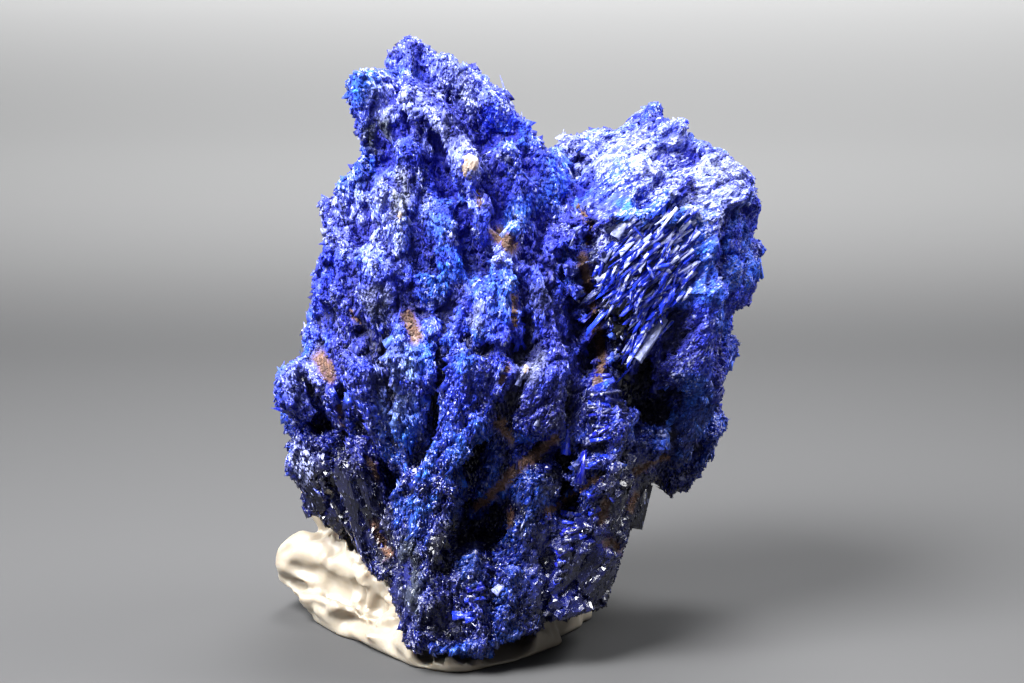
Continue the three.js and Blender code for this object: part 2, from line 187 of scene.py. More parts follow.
def seenFromFront(p):
    # right and up from the middle of the cluster, as the front view shows them
    above = math.radians(cameraSetup["above"])
    right = p[:, 0] - cameraSetup["aim"][0]
    back = p[:, 1] - cameraSetup["aim"][1]
    rise = p[:, 2] - cameraSetup["aim"][2]
    up = rise * math.cos(above) + back * math.sin(above)
    depth = back * math.cos(above) - rise * math.sin(above)
    nearness = cameraSetup["distance"] / (cameraSetup["distance"] + depth)
    return np.stack([right * nearness, up * nearness], axis=1)


# Mesh helpers.
def pointsOf(obj):
    flat = np.empty(len(obj.data.vertices) * 3)
    obj.data.vertices.foreach_get("co", flat)
    return flat.reshape(-1, 3) / mm


def setPoints(obj, points):
    obj.data.vertices.foreach_set("co", (points * mm).ravel())
    obj.data.update()


def normalsOf(obj):
    flat = np.empty(len(obj.data.vertices) * 3)
    obj.data.vertices.foreach_get("normal", flat)
    return flat.reshape(-1, 3)


def only(obj):
    bpy.ops.object.select_all(action="DESELECT")
    obj.select_set(True)
    bpy.context.view_layer.objects.active = obj


def editAll():
    # edit mode, with everything selected
    bpy.ops.object.mode_set(mode="EDIT")
    bpy.ops.mesh.select_all(action="SELECT")


def joined(name, objects):
    only(objects[0])
    for extra in objects[1:]:
        extra.select_set(True)
    bpy.ops.object.join()
    objects[0].name = name
    objects[0].data.name = name
    return objects[0]


def applied(obj, kind, **settings):
    only(obj)
    bpy.ops.object.modifier_add(type=kind)
    modifier = obj.modifiers[-1]
    for key, value in settings.items():
        setattr(modifier, key, value)
    bpy.ops.object.modifier_apply(modifier=modifier.name)


def mergedCopy(node, name):
    only(bpy.data.objects[node])
    bpy.ops.object.duplicate()
    copy = bpy.context.object
    copy.name = name
    copy.data.name = name
    for key in list(copy.keys()):
        del copy[key]
    editAll()
    bpy.ops.mesh.remove_doubles(threshold=0.002 * mm)
    bpy.ops.object.mode_set(mode="OBJECT")
    return copy


def trianglesOf(obj):
    obj.data.calc_loop_triangles()
    n = len(obj.data.loop_triangles)
    flat = np.empty(n * 3, dtype=np.int64)
    obj.data.loop_triangles.foreach_get("vertices", flat)
    return flat.reshape(-1, 3)


def spotsOn(obj, perSquare, seed, liking, values):
    # places spread over the surface, that many to a square millimetre where liking is 1,
    # with the smooth normal and a value at each
    random = np.random.default_rng(seed)
    points, corners = pointsOf(obj), trianglesOf(obj)
    a, b, c = (points[corners[:, n]] for n in range(3))
    across = np.cross(b - a, c - a)
    weight = 0.5 * np.linalg.norm(across, axis=1) * liking((a + b + c) / 3, unit(across))
    count = int(perSquare * weight.sum())
    chosen = random.choice(len(corners), count, p=weight / weight.sum())
    s, t = random.random(count), random.random(count)
    over = s + t > 1
    s[over], t[over] = 1 - s[over], 1 - t[over]
    s, t = s[:, None], t[:, None]
    spots = a[chosen] * (1 - s - t) + b[chosen] * s + c[chosen] * t
    smooth = unit(normalsOf(obj)[corners[chosen]].mean(axis=1))
    return spots, smooth, values[corners[chosen]].mean(axis=1), random


# One crystal of each habit, modelled once: 2 long and at most 2 wide, lying along Z around the origin,
# so that the sizes given to the grown ones are half sizes.
def habit(name, sides, top, lean, squash):
    # a prism whose upper end is drawn in and tilted
    bpy.ops.object.select_all(action="DESELECT")
    bpy.ops.mesh.primitive_cylinder_add(vertices=sides, radius=1, depth=2, location=(0, 0, 0))
    crystal = bpy.context.object
    crystal.name = name
    crystal.data.transform(crystal.matrix_world)
    editAll()
    bpy.ops.transform.rotate(value=math.pi / sides, orient_axis="Z", center_override=(0, 0, 0))
    bpy.ops.mesh.select_all(action="DESELECT")
    bpy.ops.object.mode_set(mode="OBJECT")
    for vertex in crystal.data.vertices:
        vertex.select = vertex.co.z > 0.5
    bpy.ops.object.mode_set(mode="EDIT")
    bpy.ops.transform.resize(value=(top[0], top[1], 1), center_override=(0, 0, 1))
    bpy.ops.transform.rotate(value=lean, orient_axis="Y", center_override=(0, 0, 0.7))
    bpy.ops.mesh.select_all(action="SELECT")
    bpy.ops.transform.resize(value=(1, squash, 1), center_override=(0, 0, 0))
    bpy.ops.mesh.normals_make_consistent(inside=False)
    bpy.ops.object.mode_set(mode="OBJECT")
    return crystal


def scale(name, apex, squash):
    # a flat three-sided point
    bpy.ops.object.select_all(action="DESELECT")
    bpy.ops.mesh.primitive_cone_add(vertices=3, radius1=1, radius2=0, depth=2, location=(0, 0, 0))
    crystal = bpy.context.object
    crystal.name = name
    for vertex in crystal.data.vertices:
        vertex.select = vertex.co.z > 0.5
    bpy.ops.object.mode_set(mode="EDIT")
    bpy.ops.transform.translate(value=apex)
    bpy.ops.mesh.select_all(action="SELECT")
    bpy.ops.transform.resize(value=(1, squash, 1), center_override=(0, 0, 0))
    bpy.ops.mesh.normals_make_consistent(inside=False)
    bpy.ops.object.mode_set(mode="OBJECT")
    return crystal


def lump(name):
    # a rounded grain
    bpy.ops.object.select_all(action="DESELECT")
    bpy.ops.mesh.primitive_ico_sphere_add(subdivisions=1, radius=1, location=(0, 0, 0))
    grain = bpy.context.object
    grain.name = name
    editAll()
    bpy.ops.transform.resize(value=(1.0, 0.8, 0.9), center_override=(0, 0, 0.4))
    bpy.ops.object.mode_set(mode="OBJECT")
    return grain


habits = {
    "wedge": habit("habitWedge", 4, (0.85, 0.25), 0.35, 1.0),
    "chisel": habit("habitChisel", 4, (0.55, 0.5), -0.3, 1.0),
    "scale": scale("habitScale", (0.3, 0.5, 0), 0.9),
    "point": scale("habitPoint", (-0.4, 0.1, 0), 1.0),
    "lump": lump("habitLump"),
}


def grown(name, shapes, spots, along, broad, sizes, seed):
    # many crystals as one mesh: along is each one's length, broad the way its flat face looks
    random = np.random.default_rng(seed)
    z = unit(along)
    x = unit(np.cross(broad, z))
    y = np.cross(z, x)
    axes = np.stack([x * sizes[:, :1], y * sizes[:, 1:2], z * sizes[:, 2:]], axis=2)
    kinds = random.integers(0, len(shapes), len(spots))
    points, owners, loops, counts, start = [], [], [], [], 0
    for kind, shape in enumerate(shapes):
        mine = np.nonzero(kinds == kind)[0]
        proto = np.array([v.co for v in shape.data.vertices])
        faces = [list(f.vertices) for f in shape.data.polygons]
        placed = np.einsum("nij,vj->nvi", axes[mine], proto) + spots[mine][:, None, :]
        points.append(placed.reshape(-1, 3))
        owners.append(np.repeat(mine, len(proto)))
        flat = np.concatenate([np.array(f) for f in faces])
        first = start + np.arange(len(mine))[:, None] * len(proto)
        loops.append((flat[None, :] + first).ravel())
        counts.append(np.tile([len(f) for f in faces], len(mine)))
        start += len(mine) * len(proto)
    points, loops, counts = np.concatenate(points), np.concatenate(loops), np.concatenate(counts)
    mesh = bpy.data.meshes.new(name)
    mesh.vertices.add(len(points))
    mesh.vertices.foreach_set("co", (points * mm).ravel())
    mesh.loops.add(len(loops))
    mesh.loops.foreach_set("vertex_index", loops)
    mesh.polygons.add(len(counts))
    mesh.polygons.foreach_set("loop_start", np.concatenate([[0], np.cumsum(counts)[:-1]]))
    mesh.update(calc_edges=True)
    mesh.validate()
    obj = bpy.data.objects.new(name, mesh)
    scene.collection.objects.link(obj)
    return obj, np.concatenate(owners)


# Where things lie on the front, as it is seen: right and up from the middle, in millimetres.
# Patches: right, up, half width, half height, turn in degrees, strength.
patches = {
    # partly painted sheen: lilac where the lobe's top and the upper faces are brightly lit, partly a lilac
    # tint of the crystals
    "lilac": [(-3.9, 11.2, 3.4, 1.1, -42, 0.8), (-6.9, 13.0, 1.0, 1.2, 0, 0.5),
              (-7.2, 6.4, 3.0, 2.6, 0, 0.4), (-3.4, 14.2, 2.6, 1.2, -30, 0.4),
              (9.6, 9.2, 3.4, 1.8, -20, 0.9), (5.6, 10.6, 2.4, 1.2, 20, 0.7),
              (-0.6, 4.8, 0.9, 0.6, 0, 0.8), (-11.4, -2.2, 1.3, 1.3, 0, 0.6),
              (3.7, 11.0, 1.6, 1.3, 0, 0.6)],
    # painted shade: deep blue mostly in the shadows beside the ridges, in gaps and in holes
    "deep": [(-2.9, 11.8, 1.5, 0.9, -30, 0.9), (-0.9, 8.6, 1.1, 1.7, 0, 0.9),
             (1.4, 5.4, 1.3, 2.0, -30, 0.8), (-4.3, 9.2, 0.35, 0.9, 20, 0.9),
             (-6.8, 10.6, 0.25, 0.7, -10, 0.8), (2.4, 0.6, 1.0, 2.4, 0, 0.7),
             (-2.6, 3.0, 0.5, 1.6, 20, 0.6), (0.6, 9.2, 1.3, 2.2, -40, 0.8)],
    "azure": [(0.6, 7.0, 0.9, 1.6, -30, 0.7), (-3.6, 3.9, 2.2, 1.2, -25, 0.9),
              (-4.9, 6.3, 1.6, 1.0, 0, 0.6), (-6.0, -3.6, 1.4, 2.6, 0, 0.7),
              (-5.0, -8.4, 0.9, 1.8, -10, 0.9), (9.4, -4.4, 1.8, 2.6, -20, 0.7),
              (7.6, 7.0, 2.4, 1.0, -15, 0.8), (9.3, 3.0, 1.0, 2.2, -30, 0.6),
              (-1.8, -8.9, 1.5, 2.2, -30, 0.6), (-8.1, 14.0, 1.0, 1.2, 0, 0.7),
              (-1.6, -12.4, 1.8, 1.4, 0, 0.4), (-0.6, 3.4, 0.8, 1.4, 20, 0.5)],
    "grey": [(-6.1, 8.0, 0.6, 1.4, -12, 0.95), (-7.4, 2.3, 0.9, 0.8, 0, 0.5),
             (1.0, -1.0, 0.8, 1.2, 0, 0.5), (-3.9, 2.0, 0.7, 0.5, 0, 0.5),
             (-1.8, 1.4, 0.6, 0.7, 0, 0.6), (-6.4, -2.0, 1.2, 2.6, 0, 0.35)],
    "slate": [(-7.3, 11.1, 0.95, 1.15, 0, 0.95), (-5.5, -12.6, 0.6, 2.6, 4, 0.9),
              (-7.2, 1.6, 0.7, 0.7, 0, 0.7), (1.5, 2.4, 1.0, 0.9, 0, 0.5)],
    # painted highlights: here the pale broken crystals lie thickest, where the front glints or is brightly
    # lit
    "paintedHighlight": [(-11.6, -6.4, 0.6, 1.5, 10, 1.0), (5.4, 5.6, 0.8, 1.4, -30, 0.6),
              (7.8, 9.0, 3.4, 1.6, -12, 0.5), (10.6, 7.2, 1.1, 1.8, 0, 0.6),
              (3.7, 11.0, 1.6, 1.3, 0, 0.4)],
    # painted shade: black where recesses, gaps and hollows lie in shadow
    "black": [(6.0, 0.8, 0.9, 1.6, -20, 1.0), (6.1, -1.9, 0.45, 2.5, 0, 1.0),
              (5.4, 3.6, 2.2, 2.4, -30, 0.75), (-9.4, -8.8, 2.0, 3.2, 35, 0.9),
              (-3.5, -10.9, 0.8, 1.7, -40, 0.95), (-7.2, -10.2, 0.8, 2.6, 14, 0.9),
              (0.1, -9.2, 0.8, 0.8, -40, 0.8), (3.2, -12.4, 1.0, 1.0, 0, 0.8),
              (6.2, -8.6, 1.6, 2.2, 0, 0.85), (4.4, -13.0, 1.6, 2.0, 0, 0.75),
              (1.2, -14.6, 1.6, 0.9, 15, 0.6), (2.2, -7.6, 0.7, 0.8, 0, 0.7),
              (-5.0, -5.6, 0.3, 1.3, -35, 0.7), (-3.8, -15.2, 1.2, 1.3, 0, 0.8)],
    "glass": [(3.8, -12.9, 3.4, 4.2, 0, 1.0), (-9.4, -8.8, 2.2, 3.4, 35, 1.0),
              (6.4, -8.2, 2.0, 2.8, 0, 0.9), (9.6, -6.2, 2.0, 3.2, -30, 0.3),
              (6.2, 2.8, 2.2, 4.0, -30, 0.8), (-5.8, -13.4, 0.8, 2.4, 5, 0.9),
              (3.6, -4.5, 1.6, 3.0, 0, 0.5)],
}

# The brown seams: the full width of each and the points it runs through.
seams = {
    "cleft": (0.5, ((3.75, 4.6), (4.2, 2.6), (4.6, 0.8), (4.85, -0.4), (4.95, -1.5), (4.6, -2.3))),
    "cleftTop": (0.25, ((3.6, 7.4), (4.3, 6.3), (4.0, 5.2))),
    "long": (0.5, ((-1.9, -9.1), (-0.65, -7.85), (0.45, -6.8), (1.65, -5.8), (2.35, -5.2))),
    "longBranch": (0.3, ((-0.1, -10.1), (-0.1, -9.2))),
    "low": (0.3, ((1.85, -9.3), (2.9, -8.5), (4.1, -7.8), (4.7, -7.4))),
    "short": (0.35, ((4.85, -9.8), (5.1, -8.6))),
    "right": (0.35, ((6.7, -7.1), (7.5, -6.6), (8.4, -6.2))),
    "rightBit": (0.35, ((6.4, -9.1), (6.75, -8.3))),
    "footBit": (0.45, ((5.2, -10.9), (5.9, -11.2))),
    "centre": (0.75, ((-0.8, 5.9), (0.0, 5.1))),
    "column": (0.35, ((0.1, 2.5), (0.15, 0.7))),
    "columnEnd": (0.35, ((-0.25, -1.3), (-0.6, -2.2))),
    "drop": (0.65, ((-5.7, 1.4), (-5.45, 0.9), (-5.2, 0.2))),
    "leftSide": (0.8, ((-10.4, -0.9), (-9.9, -1.9))),
    "leftLine": (0.22, ((-8.8, 1.7), (-8.2, 0.9))),
    "lowLeft": (0.3, ((-7.9, -6.3), (-7.3, -7.5))),
    "lowLeftEnd": (0.35, ((-7.5, -9.9), (-6.7, -11.6))),
    "middle": (0.55, ((-0.7, -4.3), (-0.1, -5.3))),
    "underPebble": (0.3, ((-1.9, 8.3), (-1.7, 7.4))),
    "leftEdge": (0.3, ((-9.4, -3.4), (-9.2, -4.6))),
}


def patch(seen, right, up, wide, high, turn):
    # 1 inside an oval, 0 outside it
    a = math.radians(turn)
    x, y = seen[:, 0] - right, seen[:, 1] - up
    u = (x * math.cos(a) + y * math.sin(a)) / wide
    v = (-x * math.sin(a) + y * math.cos(a)) / high
    return 1 - blend(0.6, 1.3, np.sqrt(u * u + v * v))


def ragged(p, amount, size):
    # the front view of each place, shaken a little
    shake = np.stack([roughNoise(p / size, 62), roughNoise(p / size, 63)], axis=1) - 0.5
    return seenFromFront(p) + amount * shake


def patchSum(name, p, front):
    # the strongest of the patches of one name at each place
    seen = ragged(p, 0.8, 1.1)
    total = np.zeros(len(p))
    for right, up, wide, high, turn, strength in patches[name]:
        total = np.maximum(total, strength * patch(seen, right, up, wide, high, turn))
    return total * front


def awayFromLine(seen, start, end):
    # how far each place is from the straight line between two others
    start, run = np.array(start), np.array(end) - np.array(start)
    t = np.clip(((seen - start) @ run) / (run @ run), 0, 1)
    return np.linalg.norm(seen - start - t[:, None] * run, axis=1)


def seamShare(p, spread=1.0):
    # 1 in the middle of a seam, 0 beside it
    seen = ragged(p, 0.5, 0.6)
    total = np.zeros(len(p))
    for width, line in seams.values():
        for start, end in zip(line, line[1:]):
            away = awayFromLine(seen, start, end)
            total = np.maximum(total, 1 - blend(0.3, 0.7, away / (width * spread)))
    return total


# The body of the cluster.
body = {
    "firstVoxel": 0.24,
    "relief": ((45, 1.1), (10, 0.35)),  # how widely to smooth, and how far to push away from that
    "furthest": (0.4, 0.4),  # the longest push outward and inward
    "shrink": 0.22,  # room for the relief and the crystals
    "voxel": 0.19,
    # how far the lower left edge stands back behind the tack smeared on it, and where that comes in
    "edge": {"back": 0.3, "right": (-8.5, -10.5), "up": (-4.0, -6.0)},
    # width, length and flatness of the large and the small faces
    "planes": ((1.7, 2.8, 0.95), (0.9, 1.7, 0.6)),
    # width and length of the facets, how high they tilt and how deep the gaps between them are
    "facets": ((1.8, 5.0, 0.22, 0.14), (0.9, 1.7, 0.14, 0.07), (0.36, 0.7, 0.06, 0.02)),
    "gap": 0.1,  # width of the gaps
    "calm": 0.93,  # how much less relief the small facets have on the large glassy faces
    # how much of each hollow beside a seam is filled, how smoothly, how widely, and how deep the seam lies
    "seamFill": {"share": 0.9, "times": 90, "spread": 1.6, "deep": 0.05},
    # the straight edges of the foot: from right, up, to right, up
    "trims": (((0.2, -16.0), (4.95, -14.4)), ((5.05, -14.3), (6.25, -10.6))),
    "triangles": 190000,
    "hollowTimes": 30,  # how smooth the surface is that hollows are measured from
}


def relaxed(obj, values, times):
    # the values after each has moved towards the middle of its neighbours', again and again
    pairs = np.empty(len(obj.data.edges) * 2, dtype=np.int64)
    obj.data.edges.foreach_get("vertices", pairs)
    a, b = pairs.reshape(-1, 2).T
    total = len(values)
    count = np.maximum(np.bincount(a, minlength=total) + np.bincount(b, minlength=total), 1)
    soft = values.copy()
    for _ in range(times):
        for axis in range(3):
            near = np.bincount(a, soft[b, axis], total) + np.bincount(b, soft[a, axis], total)
            soft[:, axis] = near / count
    return soft


def hollowness(obj, times):
    # how far each point lies below the smoothed surface
    p = pointsOf(obj)
    facing = unit(relaxed(obj, normalsOf(obj), 8))
    return ((relaxed(obj, p, times) - p) * facing).sum(axis=1)


def biggestPart(obj):
    # drops the loose crumbs that a remesh can leave
    only(obj)
    editAll()
    bpy.ops.mesh.separate(type="LOOSE")
    bpy.ops.object.mode_set(mode="OBJECT")
    parts = list(bpy.context.selected_objects)
    biggest = max(parts, key=lambda part: len(part.data.vertices))
    for part in parts:
        if part is not biggest:
            bpy.data.objects.remove(part, do_unlink=True)
    return biggest


def flattened(p, n, chance, share):
    # the points of every cell drawn towards one plane
    cell = np.unique(chance[:, 0], return_inverse=True)[1]
    count = np.bincount(cell)[:, None]
    middle = np.stack([np.bincount(cell, p[:, k]) for k in range(3)], axis=1) / count
    facing = unit(np.stack([np.bincount(cell, n[:, k]) for k in range(3)], axis=1))
    # no point moves further than half a millimetre
    off = np.clip(((p - middle[cell]) * facing[cell]).sum(axis=1), -0.5, 0.5)
    return p - (share * off)[:, None] * facing[cell]


def trimmed(p, start, end):
    # seen from the front, nothing reaches past the line from start to end, to the right of it or below
    run = end - start
    seen = seenFromFront(p) - start
    outward = np.array((-run[1], run[0])) / np.linalg.norm(run)
    outward *= -np.sign(outward[1] - 0.5 * outward[0])
    t = (seen @ run) / (run @ run)
    past = np.clip(seen @ outward, 0, 1.2) * ((t > -0.3) & (t < 1.15))  # only near the line
    rightward, upward, _ = (np.array(axis) for axis in viewAxes())
    return p - past[:, None] * (outward[0] * rightward + outward[1] * upward)


def makeBody():
    core = mergedCopy("azurite_cluster", "azuriteBody")
    applied(core, "REMESH", mode="VOXEL", voxel_size=body["firstVoxel"] * mm)
    for times, push in body["relief"]:
        p = pointsOf(core)
        away = p - relaxed(core, p, times)
        inward = ((away * normalsOf(core)).sum(axis=1, keepdims=True) < 0)
        reach = np.linalg.norm(away, axis=1, keepdims=True)
        furthest = np.where(inward, body["furthest"][1], body["furthest"][0])
        setPoints(core, p + push * away * np.minimum(1, furthest / np.maximum(push * reach, 1e-6)))
    p = pointsOf(core) - body["shrink"] * normalsOf(core)
    seen = seenFromFront(p)
    edge = body["edge"]
    p[:, 0] += edge["back"] * blend(*edge["right"], seen[:, 0]) * blend(*edge["up"], seen[:, 1])
    setPoints(core, p)
    applied(core, "REMESH", mode="VOXEL", voxel_size=body["voxel"] * mm)
    core = biggestPart(core)

    p, n = pointsOf(core), normalsOf(core)
    glass = patchSum("glass", p, 1.0)
    for step, (wide, long, share) in enumerate(body["planes"]):
        chance = crystalCells(grainSpace(p, wide, long), 60 + 20 * step)[3]
        p = flattened(p, n, chance, share * (glass if step == 0 else 1 - glass))
    rise = np.zeros(len(p))
    for step, (wide, long, height, gap) in enumerate(body["facets"]):
        near, second, offset, chance = crystalCells(grainSpace(p, wide, long), 100 + 20 * step)
        tilt = unit(chance - 0.5)
        calm = 1 if step == 0 else 1 - body["calm"] * glass
        rise += calm * height * (1.6 * (offset * tilt).sum(axis=1) + 0.9 * (chance[:, 0] - 0.5))
        rise -= calm * gap * np.exp(-((second - near) / body["gap"]) ** 2)
    p = p + n * rise[:, None]
    fill = body["seamFill"]
    inSeam = seamShare(p, fill["spread"])[:, None]
    p = p + fill["share"] * inSeam * (relaxed(core, p, fill["times"]) - p) - fill["deep"] * inSeam * n
    for start, end in body["trims"]:
        p = trimmed(p, np.array(start), np.array(end))
    setPoints(core, p)
    faces = 2 * len(core.data.polygons)
    applied(core, "DECIMATE", ratio=body["triangles"] / faces)
    core.name = "azuriteBody"
    core.data.name = "azuriteBody"
    print("body shaped,", faces, "triangles before it is thinned")
    return core


azuriteBody = makeBody()
hollow = hollowness(azuriteBody, body["hollowTimes"])


# Colours over the cluster.
blues = {
    "deep": (0.006, 0.010, 0.30),
    "royal": (0.010, 0.030, 0.58),
    "azure": (0.018, 0.120, 0.66),
    "powder": (0.11, 0.15, 0.50),  # thick dust, also used as painted sheen where it lies on the upper faces that look up
    "lilac": (0.24, 0.27, 0.62),
    "navy": (0.003, 0.005, 0.06),
    "grey": (0.22, 0.24, 0.31),
    "slate": (0.035, 0.042, 0.065),
    "rust": (0.14, 0.07, 0.045),
    "black": (0.004, 0.004, 0.012),
    "pale": (0.38, 0.42, 0.76),  # the smallest broken crystals, and painted glints
}
tinting = {
    "fine": 0.8,  # widths of the two noises that break the colours up
    "wide": 3.0,
    "streak": (0.45, 1.3),  # width and length of the streaks along the grain
    "high": (-8.0, 9.0),  # from where to where, up the front, the upper part with its dust and painted sheen comes in
    "low": (1.0, -9.0),  # and the same for the darker lower part, partly its darker glassy crystals and partly painted shade
    "lowSlate": 0.35,
    "lowNavy": (0.72, 0.18),  # everywhere, and more on the glassy faces
    "crease": (0.01, 0.2),  # painted shade in the creases: how deep a crease is where it starts to darken, and where it is darkest
    "black": (0.15, 0.35),  # the same for the painted black shade in the deepest ones, low on the front
    "edge": (0.0, -0.2),  # how far an edge stands out where it starts to turn pale with painted glints, and where it is palest
}


def colourAt(p, n, hollow):
    # the colour at each place, with painted shade in the creases and low down and painted sheen high up, how
    # thickly the pale broken crystals and painted glints lie there, how bare and how glassy it is
    front = blend(-0.45, 0.05, -n[:, 1])
    seen = seenFromFront(p)
    fine = roughNoise(p / tinting["fine"], 60)
    wide = roughNoise(p / tinting["wide"], 61)
    streaks = blend(0.42, 0.62, roughNoise(grainSpace(p, *tinting["streak"]), 66, 2))
    colour = np.tile(blues["royal"], (len(p), 1))

    def mix(name, share):
        colour[:] += (np.array(blues[name]) - colour) * np.clip(share, 0, 1)[:, None]

    high = blend(*tinting["high"], seen[:, 1])
    low = blend(*tinting["low"], seen[:, 1])
    above = blend(-0.5, 0.6, n[:, 2])
    mix("deep", blend(0.5, 0.32, wide))
    # partly painted sheen: the dust coat is laid thicker high up and on faces that look up
    dustAndSheen = high * (0.03 + 0.3 * streaks + 0.2 * blend(0.4, 0.6, fine)) * (0.5 + 0.5 * above)
    mix("powder", dustAndSheen)
    azure = np.maximum(patchSum("azure", p, front), 0.6 * blend(0.5, 0.66, wide)) * blend(0.25, 0.5, fine)
    # painted shade: black laid in shaded recesses and gaps
    black = patchSum("black", p, front)
    glass = np.maximum(patchSum("glass", p, front), black)
    # painted shade: the deep patches darken shaded hollows and gaps
    dark = patchSum("deep", p, front)
    mix("deep", dark)
    azure = azure * (1 - glass) * (1 - dark)
    mix("azure", azure)
    # partly painted shade: the lower part is darkened towards slate and navy, partly for its darker glassy
    # crystals
    mix("slate", tinting["lowSlate"] * low * (1 - 0.7 * azure))
    lowNavy, glassNavy = tinting["lowNavy"]
    mix("navy", (lowNavy * low + glassNavy * low * glass) * (1 - 0.7 * azure))
    # partly painted sheen: the lilac patches, which also raise the pale share
    lilac = patchSum("lilac", p, front)
    mix("lilac", lilac * blend(0.1, 0.5, fine) * (0.6 + 0.4 * streaks))
    slate = patchSum("slate", p, front)
    mix("grey", patchSum("grey", p, front) * blend(0.2, 0.5, fine))
    mix("slate", slate)
    mix("black", black)
    # painted shade: the creases are darkened towards deep blue, navy and black, most on the lower front
    creaseShade = blend(*tinting["crease"], hollow)
    mix("deep", 0.9 * creaseShade)
    mix("navy", 0.9 * creaseShade * blend(9, -3, seen[:, 1]))
    mix("black", 0.7 * blend(*tinting["black"], hollow) * blend(6, -3, seen[:, 1]))
    bare = seamShare(p) * front
    mix("rust", bare)

    # partly painted glints: the pale broken crystals gather on edges, high up and on faces that look up
    edge = blend(*tinting["edge"], hollow)
    pale = 0.03 + streaks * (0.05 + 0.14 * edge + 0.18 * high * above) + 0.3 * lilac
    pale = pale * (1 - 0.65 * low) * (1 - creaseShade) * (1 - black) * (1 - 0.8 * dark) * (1 - 0.8 * slate)
    # painted highlights raise the pale share where the front glints
    pale = np.maximum(pale, patchSum("paintedHighlight", p, front)) * (1 - bare)
    gloss = 0.5 + 0.8 * (wide - 0.5) - 0.35 * high - 0.35 * azure + 0.3 * low
    return colour, np.clip(pale, 0, 1), bare, glass, np.clip(np.maximum(gloss, glass), 0, 1)


def paint(obj, colours, pale, gloss):
    # alpha says how thickly the pale broken crystals and painted glints lie
    layer = obj.data.color_attributes.new("tint", "FLOAT_COLOR", "POINT")
    four = np.concatenate([colours, pale[:, None]], axis=1)
    layer.data.foreach_set("color", four.ravel())
    drawn = obj.data.attributes.new("grain", "FLOAT_VECTOR", "POINT")
    drawn.data.foreach_set("vector", grainSpace(pointsOf(obj), 1.0, 1.6).ravel())
    shine = obj.data.attributes.new("gloss", "FLOAT", "POINT")
    shine.data.foreach_set("value", gloss)


# Materials.
def nodesOf(name):
    material = bpy.data.materials.new(name)
    material.use_nodes = True
    tree = material.node_tree
    return material, tree, tree.nodes["Principled BSDF"]


def addNode(tree, kind, inputs=None, **settings):
    node = tree.nodes.new(kind)
    for key, value in settings.items():
        setattr(node, key, value)
    for key, value in (inputs or {}).items():
        if hasattr(value, "is_output"):
            tree.links.new(value, node.inputs[key])
        else:
            node.inputs[key].default_value = value
    return node


def ranged(tree, value, low, high):
    # a value from 0 to 1, stretched to another range
    node = addNode(tree, "ShaderNodeMapRange", {"Value": value, "To Min": low, "To Max": high})
    return node.outputs["Result"]


def rampColour(tree, shader, value, dark, light, start=0.0, end=1.0):
    # the base colour goes from dark to light as the value goes from start to end
    ramp = addNode(tree, "ShaderNodeValToRGB", {"Fac": value})
    first, last = ramp.color_ramp.elements
    first.position, last.position = start, end
    first.color, last.color = (*dark, 1), (*light, 1)
    tree.links.new(ramp.outputs["Color"], shader.inputs["Base Color"])


def bumpFrom(tree, shader, height, strength, distance):
    # distance in millimetres
    bump = addNode(tree, "ShaderNodeBump",
                   {"Height": height, "Strength": strength, "Distance": distance * mm})
    tree.links.new(bump.outputs["Normal"], shader.inputs["Normal"])


def vectorMath(tree, operation, inputs):
    return addNode(tree, "ShaderNodeVectorMath", inputs, operation=operation).outputs["Vector"]


glassLook = {
    # each pair: where the blue is dull, and where it is glossy
    "dullest": (1.0, 0.3),  # roughness of the dullest facets
    "glossiest": (0.55, 0.12),  # roughness of the glossiest
    "specular": (0.22, 0.42),
    # the same all over
    "shade": (0.45, 1.5),  # the darkest and the lightest facets, times the colour there
    "lean": 0.12,  # how far the facets lean where the blue is glossy
    "larger": 3.2,  # how much wider the larger facets are
    "ior": 1.76,
}


